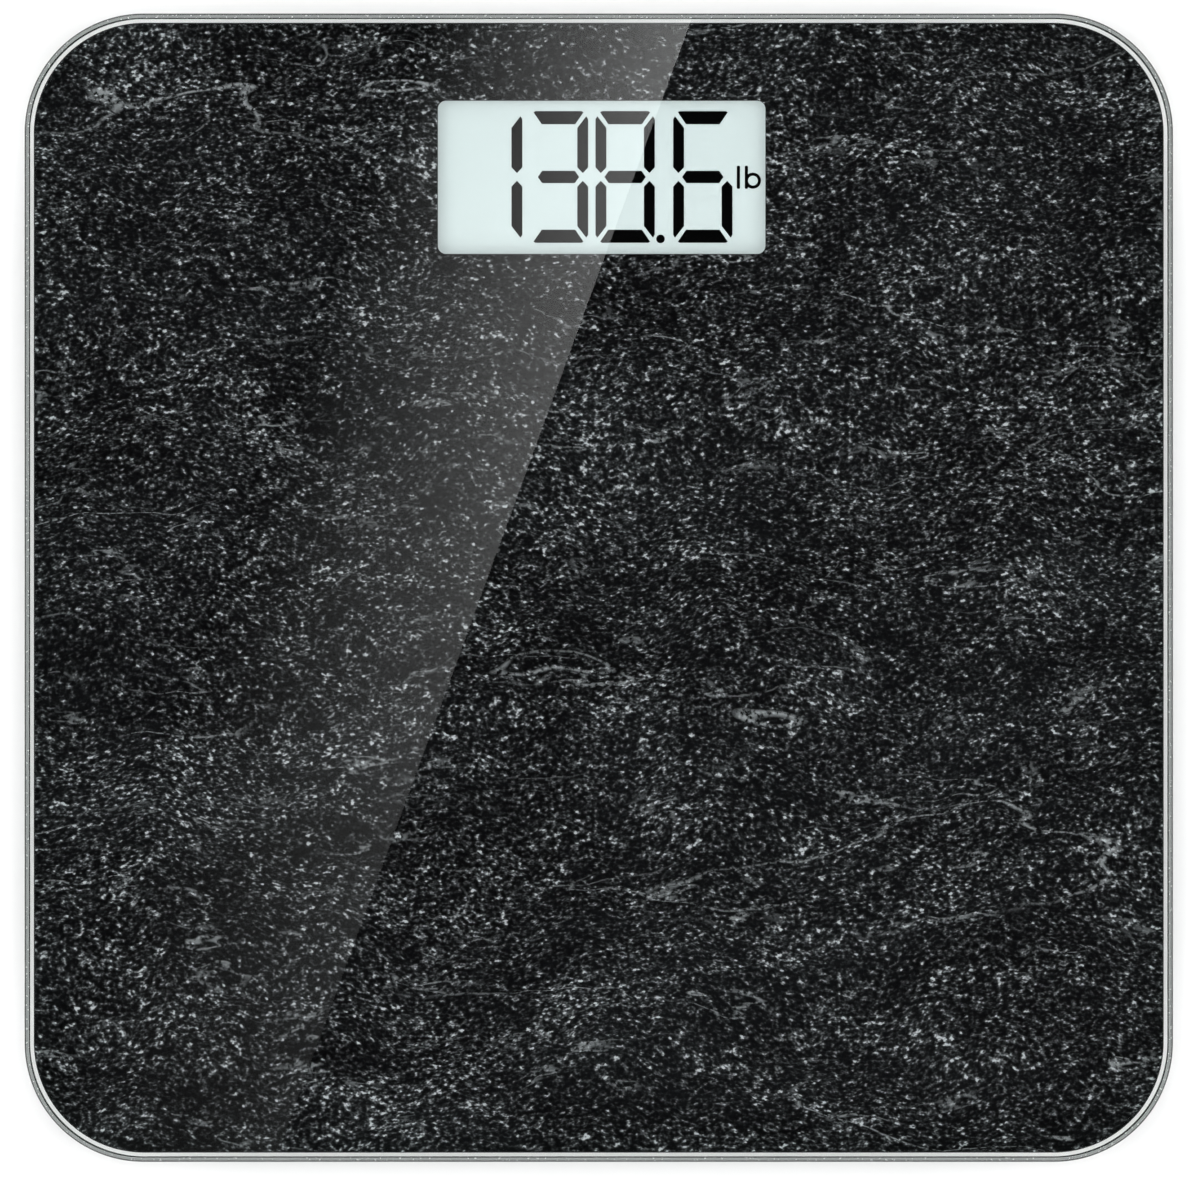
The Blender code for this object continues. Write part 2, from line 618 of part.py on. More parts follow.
def make_feet():
    """In each corner: a rubber pad, the cup that it sits in, a load cell, its gauge and its carrier."""
    rubber = make_material("foot_rubber", (0.045, 0.046, 0.048), 0.80)
    abs_black = make_material("foot_abs", (0.020, 0.021, 0.022), 0.50)
    spring_steel = make_material("zinc_plated_steel", (0.56, 0.55, 0.50), 0.35, metallic=1.0)
    potting = make_material("white_silicone", (0.80, 0.80, 0.78), 0.60)
    web = PAD_THICKNESS + GAP
    skirt_low = web - FOOT_SKIRT
    skirt_r = FOOT_R - FOOT_SKIRT
    floor_of_cup = web + TRAY_WALL
    cup_profile = [
        (0.0, foot_boss_top), (FOOT_BOSS_R, foot_boss_top), (FOOT_BOSS_R, floor_of_cup),
        (skirt_r, floor_of_cup), (skirt_r, flange_high), (flange_r, flange_high), (flange_r, flange_low),
        (FOOT_R, flange_low), (FOOT_R, skirt_low + PAD_GROOVE), (FOOT_R - PAD_GROOVE, skirt_low),
        (skirt_r, skirt_low), (skirt_r, web), (0.0, web),
    ]
    groove_r = pad_r * PAD_GROOVE_PLACE
    pad_profile = [
        (0.0, PAD_THICKNESS), (pad_r, PAD_THICKNESS), (pad_r, PAD_GROOVE), (pad_r - PAD_GROOVE, 0.0),
        (groove_r + PAD_GROOVE, 0.0), (groove_r, PAD_GROOVE), (groove_r - PAD_GROOVE, 0.0), (0.0, 0.0),
    ]
    for corner, (sign_x, sign_y) in CORNERS.items():
        at = (sign_x * foot_x, sign_y * foot_y, 0.0)
        turn = 0.0 if sign_x < 0 else math.pi
        cup = turned(f"foot_cup_{corner}", cup_profile, abs_black, at)
        pad = turned(f"foot_pad_{corner}", pad_profile, rubber)
        pad.parent = cup
        make_load_cell(corner, at, turn, spring_steel, potting)
        make_carrier(corner, at, turn, abs_black)


def make_load_cell(corner, at, turn, steel, potting):
    """A stamped plate whose middle tongue is free on three sides, and the gauge on the tongue's root."""
    half = LOAD_CELL_SIDE / 2
    inner = half - LOAD_CELL_RIM
    tongue = TONGUE_WIDTH / 2
    slot_side = tongue + SLOT_WIDTH
    slot_end = inner - SLOT_WIDTH
    slot = [
        (-inner, -slot_side), (inner, -slot_side), (inner, slot_side), (-inner, slot_side),
        (-inner, tongue), (slot_end, tongue), (slot_end, -tongue), (-inner, -tongue),
    ]
    plate = rounded_rectangle(half, half, LOAD_CELL_RIM / 2, 3)
    cell = flat_piece(f"load_cell_{corner}", [plate, slot], load_cell_low, load_cell_high, steel, at[:2])
    cell.rotation_euler.z = turn
    gauge_low = load_cell_high + GAP
    gauge = block(
        f"strain_gauge_{corner}", GAUGE_LENGTH / 2, GAUGE_WIDTH / 2, gauge_low, gauge_high, potting, at[:2],
        radius=GAUGE_WIDTH / 4, steps=3,
    )
    gauge.rotation_euler.z = turn


def make_carrier(corner, at, turn, material):
    """The frame that bears on the load cell's rim and holds the platform up, with a notch for the lead."""
    half_cell = LOAD_CELL_SIDE / 2
    carrier = block(
        f"sensor_carrier_{corner}", carrier_half, carrier_half, load_cell_low, tape_high, material, at[:2],
        radius=2 * TRAY_WALL, steps=4,
    )
    carrier.rotation_euler.z = turn
    room = half_cell + GAP
    ledge = half_cell - CARRIER_LEDGE
    ceiling = tape_high - CARRIER_TOP
    pocket_top = load_cell_high + GAP
    pocket = block(f"cell_pocket_{corner}", room, room, 0.0, pocket_top, material, at[:2])
    hollow = block(f"cell_room_{corner}", ledge, ledge, 0.0, ceiling, material, at[:2])
    notch_half = carrier_half / 2
    notch = block(
        f"lead_notch_{corner}", notch_half, LEAD_NOTCH, gauge_high, ceiling, material, at[:2]
    )
    towards_middle = 1 if turn == 0.0 else -1
    notch.location.x += towards_middle * (notch_half + half_cell / 2)
    for cutter in (pocket, hollow, notch):
        cut(carrier, cutter)


def make_display():
    lcd_glass = make_material("lcd_glass", (0.70, 0.80, 0.81), 0.15)
    abs_black = make_material("bezel_abs", (0.014, 0.014, 0.015), 0.60)
    acrylic = make_material("light_guide_acrylic", (0.85, 0.87, 0.88), 0.10, transmission=0.6)
    led_white = make_material("led_resin", (0.85, 0.84, 0.70), 0.30)
    silicone = make_material("zebra_silicone", (0.10, 0.10, 0.11), 0.60)
    foam = make_material("gasket_foam", (0.02, 0.02, 0.02), 0.90)
    centre = (display_x, display_y)
    gasket_outer = rounded_rectangle(bezel_half_x - GAP, bezel_half_y - GAP, WINDOW_CORNER_R, 3)
    gasket_inner = rounded_rectangle(
        lcd_half_x - GASKET_LAP, lcd_half_y - GASKET_LAP, WINDOW_CORNER_R, 3
    )
    flat_piece("display_gasket", [gasket_outer, gasket_inner], tape_low, tape_high, foam, centre)
    block("lcd_panel", lcd_half_x, lcd_half_y, lcd_low, tray_top, lcd_glass, centre)
    frame_low = board_high + GAP
    outer = rounded_rectangle(bezel_half_x, bezel_half_y, WINDOW_CORNER_R, 3)
    inner = rounded_rectangle(lcd_half_x + GAP, lcd_half_y + GAP, GAP, 1)
    flat_piece("display_bezel", [outer, inner], frame_low, tray_top, abs_black, centre)

    zebra_y = display_y - lcd_half_y + ZEBRA_WIDTH / 2 + GAP
    zebra_half_x = lcd_half_x - 2 * LCD_BORDER
    block("zebra_strip", zebra_half_x, ZEBRA_WIDTH / 2, guide_low, guide_high, silicone, (display_x, zebra_y))
    guide_half_x = lcd_half_x - GUIDE_SIDE_ROOM
    guide_low_y = zebra_y + ZEBRA_WIDTH
    guide_high_y = display_y + lcd_half_y - GAP
    guide_half_y = (guide_high_y - guide_low_y) / 2
    guide_centre = (display_x, (guide_low_y + guide_high_y) / 2)
    block("backlight_guide", guide_half_x, guide_half_y, guide_low, guide_high, acrylic, guide_centre)
    for side, sign in (("left", -1), ("right", 1)):
        led_x = display_x + sign * (guide_half_x + GAP + LED_SIZE[0] / 2)
        led_top = frame_low + LED_SIZE[2]
        block(
            f"backlight_led_{side}", LED_SIZE[0] / 2, LED_SIZE[1] / 2, frame_low, led_top, led_white,
            (led_x, display_y),
        )


def make_board():
    fibreglass = make_material("fr4_green", (0.020, 0.110, 0.045), 0.35)
    epoxy = make_material("chip_epoxy", (0.012, 0.012, 0.013), 0.45)
    steel = make_material("screw_steel", (0.50, 0.50, 0.49), 0.30, metallic=1.0)
    edge = rounded_rectangle(board_half_x, board_half_y, BOARD_CORNER_R, 3, (display_x, board_y))
    hole_r = SCREW_R + GAP
    holes = [circle(hole_r, SMALL_ROUND_STEPS, centre) for centre in board_holes().values()]
    flat_piece("main_board", [edge, *holes], board_low, board_high, fibreglass)
    chip_low = board_high + GAP
    chip_centre = (display_x, board_heel_edge + BOARD_STRIP / 2)
    block(
        "controller_chip", CHIP_SIZE[0] / 2, CHIP_SIZE[1] / 2, chip_low, chip_low + CHIP_SIZE[2], epoxy,
        chip_centre,
    )
    head_low = board_high + GAP
    head_high = head_low + SCREW_HEAD_HEIGHT
    tip = head_low - SCREW_LENGTH
    profile = [
        (0.0, head_high), (SCREW_HEAD_TOP_R, head_high), (SCREW_HEAD_R, head_low + SCREW_HEAD_HEIGHT / 2),
        (SCREW_HEAD_R, head_low), (SCREW_R, head_low), (SCREW_R, tip + SCREW_R), (0.0, tip),
    ]
    for corner, (x, y) in board_holes().items():
        turned(f"board_screw_{corner}", profile, steel, (x, y, 0.0), SMALL_ROUND_STEPS)


def make_button():
    """The unit button in the tray's underside, and the switch on the board that it presses."""
    abs_grey = make_material("button_abs", (0.16, 0.165, 0.17), 0.45)
    switch_black = make_material("switch_nylon", (0.02, 0.02, 0.02), 0.50)
    plunger_brown = make_material("plunger_nylon", (0.10, 0.05, 0.03), 0.50)
    at = (button_x, button_y, 0.0)
    face = FLOOR_CLEARANCE - BUTTON_PROUD
    flange_at = tray_floor_top + GAP
    button = turned(
        "unit_button",
        [
            (0.0, button_flange_high), (BUTTON_R + BUTTON_FLANGE, button_flange_high),
            (BUTTON_R + BUTTON_FLANGE, flange_at), (BUTTON_R, flange_at), (BUTTON_R, face + GAP),
            (BUTTON_R - GAP, face), (0.0, face),
        ],
        abs_grey, at,
    )
    recess_top = switch_low + SWITCH_RECESS
    plunger_top = recess_top - GAP - BUTTON_TRAVEL
    plunger_low = button_flange_high + GAP
    plunger = turned(
        "switch_plunger",
        [(0.0, plunger_top), (PLUNGER_R, plunger_top), (PLUNGER_R, plunger_low), (0.0, plunger_low)],
        plunger_brown, steps=SMALL_ROUND_STEPS,
    )
    plunger.parent = button
    half = SWITCH_SIDE / 2
    switch = block("switch_body", half, half, switch_low, switch_high, switch_black, at[:2])
    recess = cylinders("switch_recess", [at[:2]], PLUNGER_R + GAP, 0.0, recess_top, switch_black)
    cut(switch, recess)


def make_leads():
    """A sheathed lead from each load cell, and one from each contact, up to the board."""
    sheath = make_material("grey_pvc", (0.20, 0.20, 0.21), 0.45)
    red = make_material("red_pvc", (0.45, 0.02, 0.02), 0.45)
    black = make_material("black_pvc", (0.015, 0.015, 0.016), 0.45)
    along_floor = tray_floor_top + LEAD_LIFT + SENSOR_LEAD_R
    halfway_up = (along_floor + sensor_lead_end) / 2
    start = (foot_x - GAUGE_LENGTH / 2 + SENSOR_LEAD_R, gauge_high + GAP + SENSOR_LEAD_R)
    notch_x = foot_x - carrier_half
    out_x = notch_x - 2 * SENSOR_LEAD_R
    run_x = rib_x + RIB_THICKNESS / 2 + RIB_TO_COLLAR / 2
    turn_y = board_heel_edge - RIB_TO_BOARD
    side_end_x = bezel_half_x + SENSOR_LEAD_R + 4 * GAP
    heel_end_x = bezel_half_x - 5 * SENSOR_LEAD_R
    for corner, (sign_x, sign_y) in CORNERS.items():
        y = sign_y * foot_y
        board_middle = sign_x * display_x
        route = [(start[0], y, start[1]), (notch_x, y, sensor_lead_end), (out_x, y, sensor_lead_end)]
        if sign_y > 0:
            end_y = display_y - lcd_half_y / 3
            edge_x = board_half_x + board_middle
            route += [
                ((out_x + edge_x) / 2, (y + end_y) / 2, sensor_lead_end), (edge_x, end_y, sensor_lead_end),
                (side_end_x + board_middle, end_y, sensor_lead_end),
            ]
        else:
            end_x = heel_end_x + board_middle
            route += [
                (run_x, y + carrier_half / 2, halfway_up), (run_x, y + 2 * carrier_half, along_floor),
                (run_x, (y + turn_y) / 2, along_floor), (run_x, turn_y, along_floor),
                ((run_x + end_x) / 2, turn_y + RIB_TO_BOARD / 2, along_floor),
                (end_x, board_heel_edge - 2 * SENSOR_LEAD_R, sensor_lead_end),
                (end_x, board_heel_edge + 4 * SENSOR_LEAD_R, sensor_lead_end),
            ]
        points = [(sign_x * x, y_at, z) for x, y_at, z in route]
        tube(f"sensor_lead_{corner}", smooth_route(points, 5 * SENSOR_LEAD_R), SENSOR_LEAD_R, sheath)

    tag_end = bay_half_x - GAP + TAG_LENGTH + GAP
    along_floor = tray_floor_top + LEAD_LIFT + BATTERY_LEAD_R
    halfway_up = (along_floor + battery_lead_end) / 2
    room = rib_x - RIB_THICKNESS / 2 - tag_end
    beside_y = bay_y + bay_half_y
    for name, sign, material in (("plus", -1, red), ("minus", 1, black)):
        y = bay_y + sign * cell_pitch / 2
        swing_x = tag_end + room * BATTERY_LEAD_SWING[name]
        end_x = display_x + bezel_half_x / 2 - sign * SCREW_EDGE
        route = [
            (tag_end, y, cell_middle), (tag_end + LEAD_STUB, y, cell_middle),
            (swing_x - LEAD_STUB, y + SCREW_EDGE / 2, (cell_middle + along_floor) / 2),
            (swing_x, beside_y, along_floor),
            ((swing_x + end_x) / 2, (beside_y + board_heel_edge) / 2, along_floor),
            (end_x, board_heel_edge - 2 * SCREW_EDGE, halfway_up),
            (end_x, board_heel_edge - SCREW_EDGE, battery_lead_end),
            (end_x, board_heel_edge + SCREW_EDGE, battery_lead_end),
        ]
        points = smooth_route(route, 4 * BATTERY_LEAD_R)
        tube(f"battery_lead_{name}", points, BATTERY_LEAD_R, material)


def main():
    make_platform()
    make_tray()
    make_door()
    make_cells()
    make_feet()
    make_display()
    make_board()
    make_button()
    make_leads()
    for obj in scale_collection.objects:
        if obj.type == "MESH":
            obj.data.shade_smooth()
            obj.data.set_sharp_from_angle(angle=SHARP_ANGLE)


clear_scene()
scale_collection = new_collection("bathroom_scale")
cutter_collection = new_collection("cutters")
main()
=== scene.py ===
# %% [markdown]
# A digital bathroom scale, as it looks: a square of tempered glass with a slate picture printed under it,
# a window with a reading, and a black moulded tray on four round feet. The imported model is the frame. It
# says where every part sits and what moves. This lesson gives each part its real edges and its finish.

# %% Load the frame
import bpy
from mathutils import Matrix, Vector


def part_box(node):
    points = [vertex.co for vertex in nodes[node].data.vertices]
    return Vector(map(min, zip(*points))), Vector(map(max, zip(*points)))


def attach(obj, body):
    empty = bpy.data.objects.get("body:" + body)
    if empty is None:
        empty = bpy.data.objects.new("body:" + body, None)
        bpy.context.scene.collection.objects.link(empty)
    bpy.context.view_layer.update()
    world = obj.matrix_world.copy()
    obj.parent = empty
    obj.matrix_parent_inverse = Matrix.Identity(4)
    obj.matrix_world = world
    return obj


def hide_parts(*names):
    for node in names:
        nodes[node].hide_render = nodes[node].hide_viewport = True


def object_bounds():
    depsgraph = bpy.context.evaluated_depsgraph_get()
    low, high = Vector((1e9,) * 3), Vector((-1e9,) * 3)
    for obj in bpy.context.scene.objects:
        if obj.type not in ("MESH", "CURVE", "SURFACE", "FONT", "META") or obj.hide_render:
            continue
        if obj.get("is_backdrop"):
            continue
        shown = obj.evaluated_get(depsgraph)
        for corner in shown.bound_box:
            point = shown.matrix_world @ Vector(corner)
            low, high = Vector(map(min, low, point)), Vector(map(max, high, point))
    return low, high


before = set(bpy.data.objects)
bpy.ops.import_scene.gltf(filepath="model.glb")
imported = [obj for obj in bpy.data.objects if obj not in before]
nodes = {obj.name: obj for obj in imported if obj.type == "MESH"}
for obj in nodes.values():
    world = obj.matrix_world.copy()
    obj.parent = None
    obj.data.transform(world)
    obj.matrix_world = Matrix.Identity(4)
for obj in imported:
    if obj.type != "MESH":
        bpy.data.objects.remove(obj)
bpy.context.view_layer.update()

# %% Tools that Blender brings
import math

import bmesh
import bpy
from mathutils import Matrix, Vector

MM = 0.001


def under(name):
    """The place on the floor under the middle of a frame node."""
    low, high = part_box(name)
    return Vector(((low.x + high.x) / 2, (low.y + high.y) / 2, 0.0))


print("one unit is a metre, and MM is", MM)

# %% [markdown]
# Most parts start as a plain solid with round upright corners, or as an outline turned about an axis. A cube
# or a few points are enough to begin with, and bmesh operators do the rest: bevel rounds corners and eases
# edges, spin turns an outline round. Real moulded and cut parts have no knife edges, so most parts get eased
# edges, which catch a thin line of light.

# %% Solids


def slab(half_x, half_y, low, high, radius=0.0, steps=16, centre=(0.0, 0.0)):
    """A flat solid between two heights, with round upright corners."""
    bm = bmesh.new()
    bmesh.ops.create_cube(bm, size=1.0)
    bmesh.ops.scale(bm, verts=bm.verts, vec=(2 * half_x, 2 * half_y, high - low))
    bmesh.ops.translate(bm, verts=bm.verts, vec=(centre[0], centre[1], (low + high) / 2))
    if radius:
        upright = [e for e in bm.edges if abs(e.verts[0].co.z - e.verts[1].co.z) > (high - low) / 2]
        bmesh.ops.bevel(
            bm, geom=upright, offset=radius, segments=steps, affect="EDGES", profile=0.5, material=-1
        )
    return bm


def turned(profile, at=(0.0, 0.0, 0.0), steps=64):
    """An outline of (radius, height) points turned round Z into a closed solid."""
    bm = bmesh.new()
    points = [bm.verts.new((r, 0.0, z)) for r, z in profile]
    line = [bm.edges.new(pair) for pair in zip(points, points[1:])]
    bmesh.ops.spin(
        bm, geom=points + line, cent=(0, 0, 0), axis=(0, 0, 1), dvec=(0, 0, 0), angle=2 * math.pi,
        steps=steps, use_merge=True, use_duplicate=False,
    )
    bmesh.ops.remove_doubles(bm, verts=bm.verts, dist=1e-6)
    bmesh.ops.recalc_face_normals(bm, faces=bm.faces)
    bmesh.ops.translate(bm, verts=bm.verts, vec=at)
    return bm


def plug(radius, low, high, at, steps):
    """A round solid between two heights, to add or to cut with."""
    return turned([(radius, high), (radius, low), (0, low), (0, high), (radius, high)], at, steps)


def ease(bm, width, segments=2, sharper_than=40, chosen=lambda edge: True):
    """Rounds the sharp edges that pass the test."""
    limit = math.radians(sharper_than)
    edges = [e for e in bm.edges if len(e.link_faces) == 2 and e.calc_face_angle(0) > limit and chosen(e)]
    bmesh.ops.bevel(
        bm, geom=edges, offset=width, segments=segments, affect="EDGES", profile=0.5, material=-1,
        clamp_overlap=True,
    )
    return bm


def level(height, spread=1e-5):
    """A test that keeps the edges that lie at one height."""
    return lambda edge: all(abs(v.co.z - height) < spread for v in edge.verts)


print("solids: slab, turned, plug, and ease for their edges")

# %% [markdown]
# Some shapes are easiest to say as one solid minus another, such as a hole through a floor. Blender's Boolean
# modifier does that on objects, so this helper lends each bmesh an object for a moment and brings the result
# back as a bmesh.

# %% Cuts and joins


def lend(bm, name):
    """An object that holds a bmesh for a moment."""
    mesh = bpy.data.meshes.new(name)
    bm.to_mesh(mesh)
    bm.free()
    obj = bpy.data.objects.new(name, mesh)
    bpy.context.scene.collection.objects.link(obj)
    return obj


def combine(base, tool, operation):
    """Joins or cuts one bmesh with another and returns the result."""
    body, other = lend(base, "body"), lend(tool, "tool")
    modifier = body.modifiers.new("cut", "BOOLEAN")
    modifier.operation = operation
    modifier.solver = "EXACT"
    modifier.object = other
    depsgraph = bpy.context.evaluated_depsgraph_get()
    result = bmesh.new()
    result.from_mesh(body.evaluated_get(depsgraph).to_mesh())
    for obj in (body, other):
        mesh = obj.data
        bpy.data.objects.remove(obj)
        bpy.data.meshes.remove(mesh)
    bmesh.ops.remove_doubles(result, verts=result.verts, dist=1e-6)
    return result


def gathered(solids):
    """Several closed solids that don't touch, as one bmesh."""
    whole = bmesh.new()
    for solid in solids:
        mesh = bpy.data.meshes.new("solid")
        solid.to_mesh(mesh)
        solid.free()
        whole.from_mesh(mesh)
        bpy.data.meshes.remove(mesh)
    return whole


print("cuts and joins: combine, gathered")

# %% [markdown]
# A finished part becomes an object at the origin with its place in its mesh. It rides on a body of the
# frame, hides the plain node that it stands for, and takes the finishes that it is given. The Weighted
# Normal modifier lets the large flat faces decide the shading, so that a flat face next to a rounded edge
# stays flat.

# %% Finished parts


def part(name, bm, materials, body="root", stands_for=(), smooth=50):
    """Makes a finished object. Edges sharper than smooth, in degrees, stay sharp."""
    mesh = bpy.data.meshes.new(name)
    bm.normal_update()
    bm.to_mesh(mesh)
    bm.free()
    obj = bpy.data.objects.new(name, mesh)
    bpy.context.scene.collection.objects.link(obj)
    for material in materials:
        mesh.materials.append(material)
    mesh.shade_smooth()
    mesh.set_sharp_from_angle(angle=math.radians(smooth))
    shading = obj.modifiers.new("even shading", "WEIGHTED_NORMAL")
    shading.keep_sharp = True
    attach(obj, body)
    if stands_for:
        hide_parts(*stands_for)
    size = [round(1000 * v, 1) for v in obj.dimensions]
    print(f"{name}: {len(mesh.polygons)} faces, {size} mm, on {body}")
    return obj


def paint(material, *names):
    """Gives frame nodes whose shape is right a better material."""
    for name in names:
        for slot in nodes[name].material_slots:
            slot.material = material


print("finished parts: part, and paint for the frame's own")

# %% [markdown]
# Every finish is a small network of nodes on the Principled shader. Colours are written as they look on a
# screen, in hex, and one function turns them into the linear numbers that Blender works with. Patterns read
# Object coordinates, which are metres here, so a scale of 1000 divided by a size in millimetres gives a
# pattern of that size.

# %% Finishes: helpers


def linear(hex_colour):
    """A colour as a screen shows it, such as "808080", as linear RGBA."""
    channels = [int(hex_colour[i:i + 2], 16) / 255 for i in (0, 2, 4)]
    return (*[c / 12.92 if c <= 0.04045 else ((c + 0.055) / 1.055) ** 2.4 for c in channels], 1.0)


def add(tree, kind, sockets=None, out=0, into=None, **settings):
    """Adds a node and returns one output. sockets maps an input to a value, to a colour in hex or to another
    node's output, into is a socket that the output feeds, and settings are the node's options."""
    made = tree.nodes.new("ShaderNode" + kind)
    for option, value in settings.items():
        setattr(made, option, value)
    for socket, value in (sockets or {}).items():
        if isinstance(value, bpy.types.NodeSocket):
            tree.links.new(value, made.inputs[socket])
        else:
            made.inputs[socket].default_value = linear(value) if isinstance(value, str) else value
    if into is not None:
        tree.links.new(made.outputs[out], into)
    return made.outputs[out]


def finish(name, hex_colour, roughness, metallic=0.0, **sockets):
    """A new material: its Principled shader, with the sockets that are the same all over."""
    material = bpy.data.materials.new(name)
    material.use_nodes = True
    shader = material.node_tree.nodes["Principled BSDF"]
    shader.inputs["Base Color"].default_value = linear(hex_colour)
    shader.inputs["Roughness"].default_value = roughness
    shader.inputs["Metallic"].default_value = metallic
    for socket, value in sockets.items():
        shader.inputs[socket.replace("_", " ")].default_value = value
    return material, material.node_tree, shader


def per_mm(size):
    """The scale that gives a pattern of this size, in millimetres, on metres."""
    return 1000.0 / size


def mottled(name, dark, light, size, detail, roughness, metallic=0.0, gloss=0.0, **sockets):
    """A finish that drifts between two shades, and by gloss in roughness, in patches of a size in mm."""
    material, tree, shader = finish(name, light, roughness, metallic, **sockets)
    where = add(tree, "TexCoord", out="Object")
    patches = add(tree, "TexNoise", {"Vector": where, "Scale": per_mm(size), "Detail": detail})
    add(tree, "Mix", {"Factor": patches, 6: dark, 7: light}, 2, shader.inputs["Base Color"], data_type="RGBA")
    if gloss:
        drift = {
            "Value": patches, "From Min": 0.3, "From Max": 0.7, "To Min": roughness - gloss,
            "To Max": roughness + gloss,
        }
        add(tree, "MapRange", drift, into=shader.inputs["Roughness"])
    return material, tree, shader, where, patches


print("helpers for finishes: linear, add, finish, per_mm, mottled")

# %% [markdown]
# ** Tempered float glass.** The platform is 6 mm soda-lime glass, cut, ground along its edge and heated so
# that it can carry a person. Its faces are fire-polished and clear. The iron in the glass tints it green,
# which shows where you look along the sheet. The edge is ground and then polished, which leaves a pale haze.
# Below the inner part of its top chamfer the edge is coloured dark. This is painted shade, which draws a dark
# line round the sheet from above. A lamp's light has to reach the print below, so a shadow ray passes
# straight through, which is quicker and cleaner than tracing it through two surfaces.

# %% Glass finishes


def let_lamps_through(material, tint):
    """Shadow rays see a clear pane, and all other rays see the glass."""
    tree = material.node_tree
    glass = tree.nodes["Principled BSDF"].outputs[0]
    shadow = add(tree, "LightPath", out="Is Shadow Ray")
    clear = add(tree, "BsdfTransparent", {"Color": tint})
    surface = tree.nodes["Material Output"].inputs["Surface"]
    add(tree, "MixShader", {0: shadow, 1: glass, 2: clear}, into=surface)


float_glass = finish("tempered_float_glass", "FAFCFB", 0.0, IOR=1.52, Transmission_Weight=1.0)[0]
let_lamps_through(float_glass, "F7FAF9")
ground_edge_and_painted_shade, tree, shader = finish(
    "ground_edge_with_painted_dark_line", "A6ACAA", 0.22, IOR=1.52, Transmission_Weight=0.6
)
let_lamps_through(ground_edge_and_painted_shade, "DCE8E3")
where = add(tree, "TexCoord", out="Object")
wheel = add(tree, "TexNoise", {"Vector": where, "Scale": per_mm(0.8), "Detail": 3.0})
haze = {"Value": wheel, "From Min": 0.3, "From Max": 0.7, "To Min": 0.12, "To Max": 0.3}
add(tree, "MapRange", haze, into=shader.inputs["Roughness"])
glass_low, glass_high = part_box("glass_platform")
# Painted shade: the edge is coloured dark below the first height, which covers the outer part of the top
# chamfer, the upright wall and the lower chamfer. The dark fades into the pale haze by the second height.
PAINTED_SHADE_TOP = glass_high.z - 0.66 * MM
PAINTED_SHADE_FADED = glass_high.z - 0.58 * MM
height = add(tree, "SeparateXYZ", {"Vector": where}, "Z")
out_of_painted_shade = add(tree, "MapRange", {"Value": height, "From Min": PAINTED_SHADE_TOP, "From Max": PAINTED_SHADE_FADED})
add(tree, "Mix", {"Factor": out_of_painted_shade, 6: "161B19", 7: "A6ACAA"}, 2, shader.inputs["Base Color"], data_type="RGBA")
print("glass finishes:", float_glass.name, ground_edge_and_painted_shade.name)

# %% [markdown]
# **The platform.** The sheet is a slab with generous corners. The grinding wheel takes 45 degrees off both
# arrises, and polishing rounds what is left. The ground faces get their own finish, a little hazier than the
# faces of the sheet.

# %% Platform
half_x, half_y = glass_high.x, glass_high.y
CORNER = 29 * MM
platform = slab(half_x, half_y, glass_low.z, glass_high.z, CORNER, 40)
ease(platform, 1.0 * MM, 1, 60)
ease(platform, 0.12 * MM, 2, 30)
for face in platform.faces:
    face.material_index = 0 if abs(face.normal.z) > 0.999 else 1
part("platform_glass", platform, [float_glass, ground_edge_and_painted_shade], stands_for=["glass_platform"])

# %% [markdown]
# **Slate print.** The stone is a picture: ink screened onto the underside of the glass and covered with
# black. Split slate has a dark ground with a blue cast, clouds where the layers end, veins that run along the
# bedding, and thousands of pale flecks where grains catch the light. Noise stretched along X gives the
# bedding, and a slow swell bends it. The ink touches the glass, so it has no shine of its own.

# %% Slate print: coordinates and clouds
slate, tree, shader = finish("slate_print_ink", "131416", 0.5, Specular_IOR_Level=0.0)
SWELL_SIZE = 60
SWELL_HEIGHT = (0, 16 * MM, 0)
where = add(tree, "TexCoord", out="Object")
swell = add(tree, "TexNoise", {"Vector": where, "Scale": per_mm(SWELL_SIZE), "Detail": 3.0}, "Color")
waved = add(tree, "VectorMath", {0: swell, 1: SWELL_HEIGHT, 2: where}, operation="MULTIPLY_ADD")
bedding = add(tree, "Mapping", {"Vector": waved, "Scale": (0.45, 1.0, 1.0)})
clouds = add(tree, "TexNoise", {
    "Vector": bedding, "Scale": per_mm(30), "Detail": 7.0, "Roughness": 0.65, "Distortion": 0.4,
})
cloudy = add(tree, "MapRange", {"Value": clouds, "From Min": 0.38, "From Max": 0.7})
ground = add(tree, "Mix", {"Factor": cloudy, 6: "040404", 7: "0D0E0F"}, 2, data_type="RGBA")
print("slate ground:", len(tree.nodes), "nodes")

# %% [markdown]
# **Flecks.** They come from fine noise, laid over slower patches so that some places have more of them. Their
# brightness doubles in equal steps of the noise, so that most grains stay dark and a few shine.

# %% Slate print: flecks
FULL_FLECK = 1.245
DOUBLING = 0.05
patches = add(tree, "TexNoise", {"Vector": bedding, "Scale": per_mm(14), "Detail": 5.0, "Roughness": 0.7})
total = add(tree, "Math", {0: patches, 1: 0.4}, operation="MULTIPLY")
for size, share in ((1.5, 0.5), (0.78, 1.0)):
    squeezed = add(tree, "Mapping", {
        "Vector": waved, "Location": (size, size / 2, 0), "Scale": (0.72, 1.0, 1.0),
    })
    grain = add(tree, "TexNoise", {"Vector": squeezed, "Scale": per_mm(size), "Detail": 1.0})
    total = add(tree, "Math", {0: grain, 1: share, 2: total}, operation="MULTIPLY_ADD")
shortfall = add(tree, "Math", {0: total, 1: FULL_FLECK}, operation="SUBTRACT")
steps_down = add(tree, "Math", {0: shortfall, 1: DOUBLING}, operation="DIVIDE")
flecks = add(tree, "Math", {0: 2.0, 1: steps_down}, operation="POWER", use_clamp=True)
